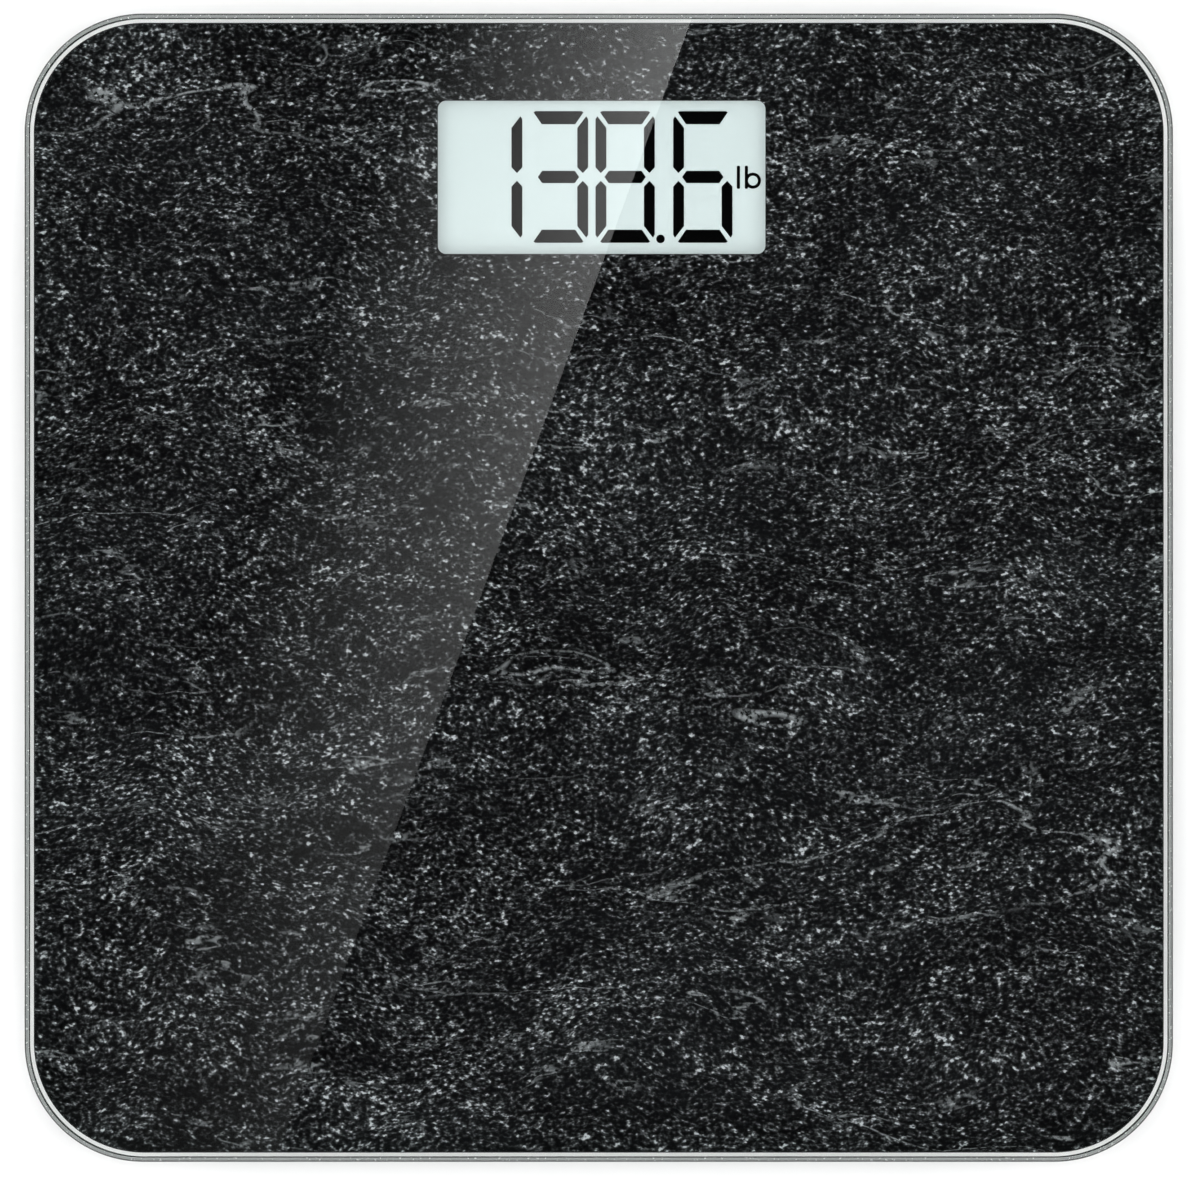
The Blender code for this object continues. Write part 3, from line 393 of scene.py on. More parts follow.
flecked = add(tree, "Mix", {"Factor": flecks, 6: ground, 7: "B2B4B8"}, 2, data_type="RGBA")
print("slate with flecks:", len(tree.nodes), "nodes")

# %% [markdown]
# **Veins.** A vein is the line where a noise field crosses one value, so it wanders and branches as a real
# one does. A second field breaks it up, and crumbs of 1.2 mm make its edges rough. There are three sizes.

# %% Slate print: veins
veins = 0.0
for size, shift, width, strength in ((70, 0.3, 0.003, 0.6), (34, 1.7, 0.0035, 0.5), (13, 3.1, 0.013, 0.4)):
    bed = add(tree, "Mapping", {
        "Vector": waved, "Location": (shift, shift, 0), "Scale": (0.3, 1.0, 1.0),
    })
    field = add(tree, "TexNoise", {"Vector": bed, "Scale": per_mm(size), "Detail": 4.0, "Roughness": 0.5})
    away = add(tree, "Math", {0: field, 1: 0.5}, operation="SUBTRACT")
    away = add(tree, "Math", {0: away}, operation="ABSOLUTE")
    line = add(tree, "MapRange", {"Value": away, "From Max": width, "To Min": strength, "To Max": 0.0})
    broken = add(tree, "TexNoise", {"Vector": bed, "Scale": per_mm(size / 2), "Detail": 2.0})
    pieces = add(tree, "MapRange", {"Value": broken, "From Min": 0.52, "From Max": 0.64})
    layer = add(tree, "Math", {0: line, 1: pieces}, operation="MULTIPLY")
    veins = add(tree, "Math", {0: veins, 1: layer}, operation="MAXIMUM")
crumbs = add(tree, "TexNoise", {"Vector": waved, "Scale": per_mm(1.2), "Detail": 2.0})
crumbled = add(tree, "MapRange", {"Value": crumbs, "From Min": 0.38, "From Max": 0.56})
veins = add(tree, "Math", {0: veins, 1: crumbled}, operation="MULTIPLY")
add(tree, "Mix", {"Factor": veins, 6: flecked, 7: "B0B2B5"}, 2, shader.inputs["Base Color"],
    data_type="RGBA")
print("slate print:", len(tree.nodes), "nodes")

# %% [markdown]
# **Printed sheets.** Two thin sheets lie under the glass, with a window cut in both: the stone, and behind it
# a plain black ink. The screen's cloth leaves fine changes of gloss in the black.

# %% Print pieces
INK_TOP = glass_low.z - 0.02 * MM
window_low, window_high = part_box("display_gasket")
WINDOW_SHIFT = 0.25 * MM
WINDOW_CENTRE = ((window_low.x + window_high.x) / 2, (window_low.y + window_high.y) / 2 + WINDOW_SHIFT)
WINDOW_HALF = (40.0 * MM, 18.7 * MM)
WINDOW_CORNER = 2.0 * MM
PRINT_INSET = 2.0 * MM
backing_ink, tree, shader = finish("black_backing_ink", "060606", 0.5)
where = add(tree, "TexCoord", out="Object")
cloth = add(tree, "TexNoise", {"Vector": where, "Scale": per_mm(0.5), "Detail": 2.0})
marks = {"Value": cloth, "From Min": 0.3, "From Max": 0.7, "To Min": 0.42, "To Max": 0.58}
add(tree, "MapRange", marks, into=shader.inputs["Roughness"])
for name, inset, top, bottom, wider, ink in (
    ("stone_print", PRINT_INSET + 0.25 * MM, 0.0, 0.08 * MM, 0.15 * MM, slate),
    ("print_backing", PRINT_INSET, 0.1 * MM, 0.3 * MM, 0.0, backing_ink),
):
    sheet = slab(half_x - inset, half_y - inset, INK_TOP - bottom, INK_TOP - top, CORNER - inset, 40)
    window = slab(
        WINDOW_HALF[0] + wider, WINDOW_HALF[1] + wider, INK_TOP - MM, INK_TOP + MM,
        WINDOW_CORNER + wider, 12, WINDOW_CENTRE,
    )
    part(name, combine(sheet, window, "DIFFERENCE"), [ink], stands_for=["printed_film"])

# %% [markdown]
# **The reading.** A liquid-crystal panel is two thin sheets of glass with dark shapes between them and a
# white light behind. Its numbers are made of seven bars, mitred where they meet, with a hair of light
# between them. Each bar is a thin prism just above the panel's face.

# %% Panel finishes
panel_low, panel_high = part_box("lcd_panel")
lit_panel, tree, shader = finish("lit_lcd_polariser", "CFE0E2", 0.22, IOR=1.5, Emission_Strength=0.37)
shader.inputs["Emission Color"].default_value = linear("D5DFE0")
where = add(tree, "TexCoord", out="Object")
glow = add(tree, "TexNoise", {"Vector": where, "Scale": per_mm(60), "Detail": 1.0})
even = add(tree, "MapRange", {"Value": glow, "From Min": 0.3, "From Max": 0.7})
add(tree, "Mix", {"Factor": even, 6: "ABB4B5", 7: "B2BABB"}, 2, shader.inputs["Base Color"], data_type="RGBA")
dark_bar = mottled("dark_liquid_crystal", "010101", "030303", 2, 2.0, 0.5, Specular_IOR_Level=0.0)[0]
print("panel finishes:", lit_panel.name, dark_bar.name)

# %% Panel
panel = slab(
    (panel_high.x - panel_low.x) / 2, (panel_high.y - panel_low.y) / 2, panel_low.z, panel_high.z,
    0.4 * MM, 4, WINDOW_CENTRE,
)
part("lit_panel", ease(panel, 0.15 * MM), [lit_panel], stands_for=["lcd_panel"])

# %% Bars
DIGIT_WIDTH = 14.5
DIGIT_HEIGHT = 32.2
TOP_BAR = [(1.15, 0.3), (1.6, 0.0), (12.9, 0.0), (13.35, 0.3), (11.35, 3.2), (3.15, 3.2)]
SIDE_BAR = [(0.45, 1.25), (2.65, 4.1), (2.65, 13.75), (1.3, 15.15), (0.0, 13.75), (0.0, 2.0)]
MIDDLE_BAR = [(2.2, 16.1), (3.25, 14.6), (11.25, 14.6), (12.3, 16.1), (11.25, 17.6), (3.25, 17.6)]


def flipped(bar, across=False, down=False):
    return [(DIGIT_WIDTH - x if across else x, DIGIT_HEIGHT - y if down else y) for x, y in bar]


BARS = {
    "a": TOP_BAR, "b": flipped(SIDE_BAR, across=True), "c": flipped(SIDE_BAR, across=True, down=True),
    "d": flipped(TOP_BAR, down=True), "e": flipped(SIDE_BAR, down=True), "f": SIDE_BAR, "g": MIDDLE_BAR,
}
# Each digit: the bars that are dark, and where its left side is, in millimetres from the window's centre.
READING = (("bc", -33.9), ("abcdg", -17.8), ("abcdefg", -1.5), ("acdefg", 17.5))
READING_TOP = 16.3
BAR_LOW, BAR_HIGH = panel_high.z + 0.02 * MM, panel_high.z + 0.08 * MM


def prism(outline, low, high):
    """A flat outline as a solid between two heights."""
    bm = bmesh.new()
    face = bm.faces.new([bm.verts.new((x, y, low)) for x, y in outline])
    raised = bmesh.ops.extrude_face_region(bm, geom=[face])["geom"]
    top = [v for v in raised if isinstance(v, bmesh.types.BMVert)]
    bmesh.ops.translate(bm, verts=top, vec=(0, 0, high - low))
    bmesh.ops.recalc_face_normals(bm, faces=bm.faces)
    return bm


def shape(outline, left=0.0, taller=0.0):
    """A dark shape on the panel. Its points are in millimetres, with Y down from the reading's top."""
    x, y = WINDOW_CENTRE
    places = [(x + (left + across) * MM, y + (READING_TOP - down) * MM) for across, down in outline]
    return prism(places, BAR_LOW - taller, BAR_HIGH + taller)


def disc(x, y, radius, steps=32):
    turn = [2 * math.pi * i / steps for i in range(steps)]
    return [(x + radius * math.cos(a), y + radius * math.sin(a)) for a in turn]


bars = [shape(BARS[key], left) for keys, left in READING for key in keys]
bars.append(shape(disc(14.4, 31.25, 1.05)))
print("reading:", len(bars), "bars and a point")

# %% Unit letters
UNIT_TOP = 13.35
RIGHT_SIDE = [(0.2, 0.0), (0.4, 0.2), (0.4, 5.45), (0.2, 5.65)]
LEFT_SIDE = [(-0.2, 5.65), (-0.4, 5.45), (-0.4, 0.2), (-0.2, 0.0)]
STEM = [(x, UNIT_TOP + y) for x, y in RIGHT_SIDE + LEFT_SIDE]
bars.append(shape(STEM, left=33.45))
BOWL_X, BOWL_Y = 37.0, UNIT_TOP + 3.65
bowl = combine(
    shape(disc(BOWL_X, BOWL_Y, 1.98, 40)), shape(disc(BOWL_X, BOWL_Y, 1.2, 40), taller=MM), "DIFFERENCE"
)
bars.append(combine(shape(STEM, left=35.4), bowl, "UNION"))
part("reading_bars", gathered(bars), [dark_bar], smooth=30)

# %% [markdown]
# **Moulded ABS.** The tray, the feet and the door are injection-moulded black ABS. The mould was
# spark-eroded, which leaves a fine matt grain of about a quarter of a millimetre, and flow leaves slow
# changes of gloss. The grain is drawn at 0.35 mm so that it shows.

# %% Plastic and rubber finishes


def grained_plastic(name, dark, light, roughness, grain=0.35, depth=0.02):
    """Moulded plastic: a matt grain over slow changes of gloss and shade."""
    material, tree, shader, where = mottled(name, dark, light, 22, 4.0, roughness, gloss=0.07, IOR=1.53)[:4]
    pits = add(tree, "TexNoise", {"Vector": where, "Scale": per_mm(grain), "Detail": 2.0})
    raised = {"Height": pits, "Strength": 0.35, "Distance": depth * MM}
    add(tree, "Bump", raised, into=shader.inputs["Normal"])
    return material


tray_plastic = grained_plastic("spark_eroded_black_abs", "101113", "191A1C", 0.52)
door_plastic = grained_plastic("door_black_abs", "131416", "1C1D1F", 0.47, 0.3)
cup_plastic = grained_plastic("foot_black_abs", "141517", "1D1E20", 0.45, 0.3)
button_plastic = grained_plastic("button_grey_abs", "4A4C4F", "55575A", 0.4, 0.25, 0.01)
frame_plastic = grained_plastic("display_frame_abs", "101011", "181819", 0.6)
foot_rubber = grained_plastic("moulded_foot_rubber", "1F2022", "2C2D2F", 0.82, 0.5, 0.05)
print("plastics and rubber made")

# %% [markdown]
# **Tray.** One moulding: a brim that the glass is taped to, a wall that slopes in to the underside, a floor
# with a round well for each foot, ribs, and the pocket for the cells. It starts as a slab. Insetting its
# underside and pushing the inset face down draws the sloping wall in one step, and insetting its top and
# pushing that face in hollows it.

# %% Tray: shell
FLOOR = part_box("base_tray")[0].z
WALL = 2.0 * MM
FLOOR_TOP = FLOOR + WALL
BRIM_TOP = panel_high.z
BRIM_LOW = BRIM_TOP - WALL
BRIM_INSET, WALL_INSET, FOOT_INSET = 6 * MM, 11 * MM, 17 * MM
SLOPE = (FOOT_INSET - WALL_INSET) / (BRIM_LOW - FLOOR)


def inset(bm, face, thickness, depth=0.0):
    bmesh.ops.inset_region(bm, faces=[face], thickness=thickness, depth=depth, use_even_offset=True)


tray = slab(half_x - BRIM_INSET, half_y - BRIM_INSET, BRIM_LOW, BRIM_TOP, CORNER - BRIM_INSET, 28)
underside = min(tray.faces, key=lambda f: f.calc_center_median().z)
inset(tray, underside, WALL_INSET - BRIM_INSET)
inset(tray, underside, FOOT_INSET - WALL_INSET, BRIM_LOW - FLOOR)
hollow = max(tray.faces, key=lambda f: f.calc_center_median().z)
inset(tray, hollow, WALL_INSET + WALL - SLOPE * WALL - BRIM_INSET)
inset(tray, hollow, SLOPE * (BRIM_TOP - FLOOR_TOP), FLOOR_TOP - BRIM_TOP)
ease(tray, 1.2 * MM, 4, 30, level(FLOOR))
ease(tray, 0.4 * MM, 3, 60, lambda e: all(v.co.z > BRIM_LOW - 1e-5 for v in e.verts))
print("tray shell:", len(tray.faces), "faces")

# %% Tray: places of what it holds
GAP = 0.3 * MM
CORNERS = ("heel_left", "heel_right", "toe_left", "toe_right")
feet = {corner: under(f"foot_pad_{corner}") for corner in CORNERS}
bosses = {corner: under(f"board_screw_{corner}") for corner in CORNERS}
BUTTON = under("unit_button")
door_low, door_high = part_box("battery_door")
HINGE_Y = 6.2 * MM
bay_low = Vector((door_low.x - GAP, HINGE_Y - GAP, 0))
bay_high = Vector((door_high.x + GAP, door_high.y + GAP, 0))
bay_centre = (bay_low + bay_high) / 2
bay_half = (bay_high - bay_low) / 2
print("pocket:", [round(2000 * v, 1) for v in bay_half[:2]], "mm")

# %% Tray: what is added
ROOT = FLOOR_TOP - 1 * MM  # added walls start inside the floor, so that they join it
COLLAR_R, COLLAR_WALL, COLLAR_HEIGHT = 21.9 * MM, 1.6 * MM, 2.6 * MM
BOSS_R, BOSS_TOP = 3.0 * MM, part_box("main_board")[0].z - GAP
BAY_WALL = 1.5 * MM
POCKET_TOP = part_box("bonding_tape")[1].z
RIB = 0.9 * MM
RIB_FROM_FOOT, RIB_FROM_BOARD = 13 * MM, 14 * MM
heel_wall = -half_y + FOOT_INSET + WALL / 2
rib_x = feet["heel_right"].x - COLLAR_R - COLLAR_WALL - RIB_FROM_FOOT
rib_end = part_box("main_board")[0].y - RIB_FROM_BOARD
rib_half = (rib_end - heel_wall) / 2
cross_y = (heel_wall + bay_low.y - RIB / 2) / 2
adds = [plug(COLLAR_R + COLLAR_WALL, ROOT, FLOOR_TOP + COLLAR_HEIGHT, at, 64) for at in feet.values()]
adds += [plug(BOSS_R, ROOT, BOSS_TOP, at, 32) for at in bosses.values()]
adds += [slab(RIB, rib_half, ROOT, BRIM_TOP, centre=(x, heel_wall + rib_half)) for x in (-rib_x, rib_x)]
adds += [
    slab(RIB, (bay_low.y - heel_wall) / 2 - GAP, ROOT, BRIM_TOP, centre=(0, cross_y)),
    slab(rib_x, RIB, ROOT, BRIM_TOP, centre=(0, cross_y)),
    slab(bay_half.x + BAY_WALL, bay_half.y + BAY_WALL, ROOT, POCKET_TOP, centre=bay_centre[:2]),
]
for solid in adds:
    tray = combine(tray, solid, "UNION")
print("tray with its ribs:", len(tray.faces), "faces")

# %% Tray: what is cut away
ABOVE = 20 * MM  # higher than anything that is cut
WELL_R, PILOT_R, KEY_R = 19.3 * MM, 1.3 * MM, 4.5 * MM
WELL = [(COLLAR_R, ABOVE), (COLLAR_R, FLOOR_TOP), (WELL_R, FLOOR_TOP), (WELL_R, 0), (0, 0), (0, ABOVE)]
HOOK_X = 15 * MM
THUMB_R, THUMB_DEPTH = 7 * MM, 1.2 * MM
cuts = [slab(bay_half.x, bay_half.y, 0, POCKET_TOP - BAY_WALL, centre=bay_centre[:2])]
for corner in CORNERS:
    cuts.append(turned(WELL + WELL[:1], feet[corner]))
    cuts.append(plug(PILOT_R, ROOT, ABOVE, bosses[corner], 24))
cuts.append(plug(KEY_R, 0, ABOVE, BUTTON, 48))
for x in (-HOOK_X, HOOK_X):
    at = (x, bay_low.y - BAY_WALL)
    cuts.append(slab(3.6 * MM, 3.0 * MM, FLOOR_TOP, FLOOR_TOP + 3.4 * MM, centre=at))
for name in ("contact_plus", "contact_minus"):
    low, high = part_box(name)
    at = (bay_high.x + BAY_WALL, under(name).y)
    cuts.append(slab(3.0 * MM, 0.5 * MM, low.z - GAP, high.z + GAP, centre=at))
cuts.append(plug(THUMB_R, 0, FLOOR + THUMB_DEPTH, (0, bay_high.y, 0), 48))
for cut in cuts:
    tray = combine(tray, cut, "DIFFERENCE")
part("moulded_tray", tray, [tray_plastic], stands_for=["base_tray"], smooth=35)

# %% [markdown]
# **Feet.** A cup of ABS holds a rubber pad. The pad is moulded with rings that grip a wet floor. Both are
# turned shapes: an outline drawn once and spun.

# %% Feet


def drawn(outline, at, steps, width, segments=2, sharper_than=50):
    """An outline in millimetres, turned round the vertical through a place, with eased edges."""
    solid = turned([(r * MM, z * MM) for r, z in outline], at, steps)
    return ease(solid, width, segments, sharper_than)


for corner, at in feet.items():
    bottom, top = (c.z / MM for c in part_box(f"foot_cup_{corner}"))
    flange_low = FLOOR_TOP / MM + 0.7
    flange_high = flange_low + 1.3
    cup = [
        (0, top), (4.0, top), (4.0, 4.5), (17.7, 4.5), (17.7, flange_high), (21.4, flange_high),
        (21.4, flange_low), (18.8, flange_low), (18.8, bottom), (17.7, bottom), (17.7, 2.5), (0, 2.5),
    ]
    part(f"foot_shell_{corner}", drawn(cup, at, 72, 0.25 * MM, sharper_than=60), [cup_plastic],
         f"foot_{corner}", [f"foot_cup_{corner}"])
    pad = [(0, 2.2), (17.4, 2.2), (17.4, 0.6), (16.8, 0)]
    for ring in (14.6, 12.2, 9.8, 7.4):
        pad += [(ring + 0.6, 0), (ring + 0.3, 0.55), (ring - 0.3, 0.55), (ring - 0.6, 0)]
    pad.append((0, 0))
    part(f"foot_grip_{corner}", drawn(pad, at, 72, 0.12 * MM, sharper_than=30),
         [foot_rubber], f"foot_{corner}", [f"foot_pad_{corner}"])

# %% [markdown]
# **Battery door.** A thin plate that closes the pocket under the tray. Two hooks on one edge go through slots
# in the pocket's wall, and a latch on the other edge snaps behind the floor. A row of shallow grooves gives
# the thumb a grip. The grooves are cut out of the plate, and the hooks and the latch are joined to it.

# %% Battery door: plate
DOOR_TOP = FLOOR + 1.6 * MM
DOOR_HALF = (bay_half.x - GAP, 13.2 * MM)
DOOR_EASE = 0.18 * MM
GROOVE = 0.35 * MM
plate = slab(*DOOR_HALF, FLOOR, DOOR_TOP, 1.2 * MM, 6, (0, HINGE_Y + DOOR_HALF[1]))
door = ease(plate, 0.2 * MM)
for row in range(6):
    at = (0, HINGE_Y + (17 + 1.5 * row) * MM)
    groove = slab(7.5 * MM, GROOVE, FLOOR - MM, FLOOR + GROOVE, 0.3 * MM, 4, at)
    door = combine(door, groove, "DIFFERENCE")
print("door plate:", len(door.faces), "faces")

# %% Battery door: hooks and latch
HOOK_ROOT = FLOOR + 0.8 * MM
HOOK_LOW, HOOK_HIGH = FLOOR_TOP + GAP, FLOOR_TOP + GAP + 1.0 * MM
NECK_NEAR, NECK_FAR, LIP_END = HINGE_Y + 0.2 * MM, HINGE_Y + 1.2 * MM, HINGE_Y - 2.3 * MM
HOOK_SIDE = [
    (NECK_NEAR, HOOK_ROOT), (NECK_FAR, HOOK_ROOT), (NECK_FAR, HOOK_HIGH), (LIP_END, HOOK_HIGH),
    (LIP_END, HOOK_LOW), (NECK_NEAR, HOOK_LOW),
]
# Turns an outline that was drawn flat and raised along Z into one drawn in (y, z) and raised along X.
SIDEWAYS = Matrix(((0, 0, 1, 0), (1, 0, 0, 0), (0, 1, 0, 0), (0, 0, 0, 1)))
for x in (-HOOK_X, HOOK_X):
    hook = prism(HOOK_SIDE, x - 3 * MM, x + 3 * MM)
    bmesh.ops.transform(hook, matrix=SIDEWAYS, verts=hook.verts)
    door = combine(door, ease(hook, DOOR_EASE), "UNION")
latch_face = HINGE_Y + 2 * DOOR_HALF[1] - 0.9 * MM
latch = slab(4.5 * MM, 0.6 * MM, HOOK_ROOT, DOOR_TOP + 4 * MM, centre=(0, latch_face - 0.6 * MM))
nub = slab(3 * MM, 0.55 * MM, HOOK_LOW, HOOK_HIGH, centre=(0, latch_face - 0.05 * MM))
door = combine(door, ease(combine(latch, nub, "UNION"), DOOR_EASE), "UNION")
part("pocket_door", door, [door_plastic], "battery_door", ["battery_door"], smooth=35)

# %% [markdown]
# **Unit button.** A round key in the tray's underside that changes the unit of the reading. It is dished for
# a fingertip, with a flange inside that stops it falling out. Its switch is a standard 6 mm tact switch: a
# black nylon body with a thin steel cover and a brown plunger.

# %% Unit button and its switch
KEY = [
    (0, 7.0), (5.7, 7.0), (5.7, 6.3), (4.1, 6.3), (4.1, 4.05), (3.85, 3.8), (3.3, 3.8), (2.9, 3.95),
    (1.6, 4.12), (0, 4.18),
]
part("unit_key", drawn(KEY, BUTTON, 64, 0.12 * MM), [button_plastic], "unit_button",
     ["unit_button"])
plunger_nylon = grained_plastic("brown_plunger_nylon", "4A2F20", "5A3A28", 0.42, 0.2, 0.005)
switch_nylon = grained_plastic("black_switch_nylon", "0F0F10", "19191A", 0.5, 0.2, 0.01)
bottom, top = (c.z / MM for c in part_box("switch_plunger"))
pin = [(0, top), (1.6, top), (1.6, bottom), (0, bottom)]
part("plunger_pin", drawn(pin, BUTTON, 32, 0.2 * MM, 3), [plunger_nylon], "unit_button",
     ["switch_plunger"])
switch_low, switch_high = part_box("switch_body")
COVER = 0.25 * MM
BORE_TOP = 9.7 * MM
housing = slab(3 * MM, 3 * MM, switch_low.z + COVER, switch_high.z, 0.3 * MM, 3, BUTTON[:2])
housing = combine(ease(housing, 0.12 * MM), plug(1.9 * MM, 0, BORE_TOP, BUTTON, 40), "DIFFERENCE")
part("switch_housing", housing, [switch_nylon], stands_for=["switch_body"])

# %% [markdown]
# **Plated metal.** Contacts and springs are nickel-plated steel, warm and bright. Load cells are stamped from
# spring steel and zinc-plated, duller and faintly mottled where the plating's crystals catch the light. Fine
# lines are left by the rolls along the strip. They are 0.02 mm apart on the real sheet and drawn at 0.25 mm.

# %% Metal finishes


def plated_sheet(name, dark, light, roughness, spangle_size):
    """Rolled and plated sheet: mottled plating over fine lines left by the rolls."""
    material, tree, shader, where = mottled(name, dark, light, spangle_size, 5.0, roughness, 1.0, 0.08)[:4]
    rolled = add(tree, "Mapping", {"Vector": where, "Scale": (0.02, 1.0, 1.0)})
    lines = add(tree, "TexNoise", {"Vector": rolled, "Scale": per_mm(0.25), "Detail": 2.0})
    raised = {"Height": lines, "Strength": 0.2, "Distance": 0.004 * MM}
    add(tree, "Bump", raised, into=shader.inputs["Normal"])
    return material


nickel = plated_sheet("nickel_plated_spring_steel", "B9B2A4", "D8D2C6", 0.24, 3.0)
zinc = plated_sheet("zinc_plated_spring_steel", "B3B2A6", "D2D0C2", 0.36, 5.0)
bright_screw = plated_sheet("zinc_plated_screw_steel", "BDBDB8", "DADAD6", 0.28, 2.0)
cover = slab(2.95 * MM, 2.95 * MM, switch_low.z, switch_low.z + COVER, 0.3 * MM, 3, BUTTON[:2])
cover = combine(cover, plug(2.0 * MM, 0, 9 * MM, BUTTON, 40), "DIFFERENCE")
part("switch_cover", ease(cover, 0.05 * MM, 1, 60), [nickel], stands_for=["switch_body"])
paint(nickel, "contact_plus", "contact_minus", "contact_bridge")
paint(zinc, *[f"load_cell_{corner}" for corner in CORNERS])

# %% [markdown]
# **Cells.** An AAA cell is a drawn steel can in a printed sleeve, 10.4 mm across and 44.5 mm long. The
# positive end has a small cap, and the negative end is a bare disc. The sleeve here is plain: grey, with a
# band in copper colour at the positive end. One outline makes the can, and each face takes its finish from
# how far along the can it lies. The two cells lie head to tail.

# %% Cells
varnish = {"Coat_Weight": 0.5, "Coat_Roughness": 0.12}
sleeve = mottled("grey_printed_sleeve", "64686C", "7B7F83", 9, 4.0, 0.3, 0.35, **varnish)[0]
band = mottled("copper_printed_band", "9A5A34", "B4734A", 6, 4.0, 0.28, 0.6, **varnish)[0]
CELL_R = 5.2 * MM
SLEEVE_START, BAND_START, SLEEVE_END = 0.5, 33.0, 43.3
CAN = [
    (0, 44.5), (1.65, 44.5), (1.9, 44.25), (1.9, 43.55), (3.1, 43.45), (3.3, 43.3), (3.6, 43.3), (3.8, 43.6),
    (4.7, 43.6), (5.05, 43.35), (5.2, 43.0), (5.2, BAND_START), (5.2, 0.9), (5.1, 0.4), (4.8, 0.1),
    (4.5, 0.0), (4.1, 0.0), (3.9, 0.18), (0, 0.18),
]
for name, node, sign in (("cell_near_hinge", "battery_a", 1), ("cell_near_latch", "battery_b", -1)):
    low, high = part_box(node)
    can = turned([(r * MM, z * MM) for r, z in CAN])
    for face in can.faces:
        along = face.calc_center_median().z / MM
        if along > SLEEVE_END or along < SLEEVE_START:
            face.material_index = 2
        elif along > BAND_START:
            face.material_index = 1
    negative_end = Vector((low.x if sign > 0 else high.x, (low.y + high.y) / 2, (low.z + high.z) / 2))
    lying = Matrix.Translation(negative_end) @ Matrix.Rotation(sign * math.pi / 2, 4, "Y")
    bmesh.ops.transform(can, matrix=lying, verts=can.verts)
    part(name, can, [sleeve, band, nickel], stands_for=[node], smooth=35)

# %% [markdown]
# **Springs.** Each negative contact is a conical coil of 0.7 mm nickel-plated wire, wound with its end turns
# close together. A curve with a round bevel is the natural way to make wire. It is turned into a mesh so that
# it is finished like every other part.

# %% Springs


def wire(points, radius, sides=3):
    """A round wire along points, as a closed mesh."""
    curve = bpy.data.curves.new("wire", "CURVE")
    curve.dimensions = "3D"
    curve.bevel_depth = radius
    curve.bevel_resolution = sides
    curve.use_fill_caps = True
    spline = curve.splines.new("POLY")
    spline.points.add(len(points) - 1)
    for point, place in zip(spline.points, points):
        point.co = (*place, 1.0)
    obj = bpy.data.objects.new("wire", curve)
    bm = bmesh.new()
    bm.from_mesh(obj.to_mesh())
    bpy.data.objects.remove(obj)
    bpy.data.curves.remove(curve)
    bmesh.ops.remove_doubles(bm, verts=bm.verts, dist=1e-6)
    bmesh.ops.recalc_face_normals(bm, faces=bm.faces)
    return bm


WIRE_R = 0.35 * MM
TURNS, STEPS_PER_TURN = 4.5, 28
COIL_R, NARROWER = 3.75 * MM, 1.5 * MM
STEPS = int(TURNS * STEPS_PER_TURN)
COILS = (("coil_near_hinge", "battery_spring_a", -1), ("coil_near_latch", "battery_spring_b", 1))
for name, node, sign in COILS:
    low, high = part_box(node)
    base_x, tip_x = (high.x, low.x) if sign > 0 else (low.x, high.x)
    base_x, tip_x = base_x - sign * WIRE_R, tip_x + sign * WIRE_R
    centre_y, centre_z = under(node).y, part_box("battery_a")[0].z + CELL_R
    coil = []
    for step in range(STEPS + 1):
        share = step / STEPS
        angle = 2 * math.pi * TURNS * share
        radius = COIL_R - NARROWER * share
        x = base_x + (tip_x - base_x) * (0.5 - 0.5 * math.cos(math.pi * share))
        coil.append((x, centre_y + radius * math.cos(angle), centre_z + radius * math.sin(angle)))
    part(name, wire(coil, WIRE_R), [nickel], stands_for=[node])

# %% [markdown]
# **Foam tape and gasket.** White acrylic foam tape bonds the glass to the brim. A black foam ring seals the
# display. Both are closed-cell foam, so their cut edges and faces show small pits. Real cells are about
# 0.1 mm across, and are drawn at 0.5 mm.

# %% Foam


def closed_cell_foam(name, dark, light):
    """Foam with small round pits, each a cell of a Voronoi pattern, and painted shade that darkens each pit
    towards its middle.
    """
    material, tree, shader = finish(name, light, 0.9)
    where = add(tree, "TexCoord", out="Object")
    pit_depth_and_painted_shade = add(tree, "TexVoronoi", {"Vector": where, "Scale": per_mm(0.5)}, "Distance")
    # Painted shade: the colour darkens towards the middle of each pit, where the bump is deepest.
    add(tree, "Mix", {"Factor": pit_depth_and_painted_shade, 6: dark, 7: light}, 2, shader.inputs["Base Color"], data_type="RGBA")
    raised = {"Height": pit_depth_and_painted_shade, "Strength": 0.5, "Distance": 0.06 * MM}
    add(tree, "Bump", raised, into=shader.inputs["Normal"])
    return material


paint(closed_cell_foam("white_acrylic_foam_tape", "C6C6C2", "E2E2DE"), "bonding_tape")
paint(closed_cell_foam("black_gasket_foam", "0A0A0A", "1A1A1B"), "display_gasket")
print("foam on the tape and the gasket")

# %% [markdown]
# **Load sensors.** A carrier holds the platform up on the rim of each stamped load cell, whose free tongue
# stands on the foot. The strain gauge on the tongue lies under a pad of white silicone, which is squeezed out
# by hand and cures with a soft, slightly wavy skin. The carrier is moulded in the tray's plastic.

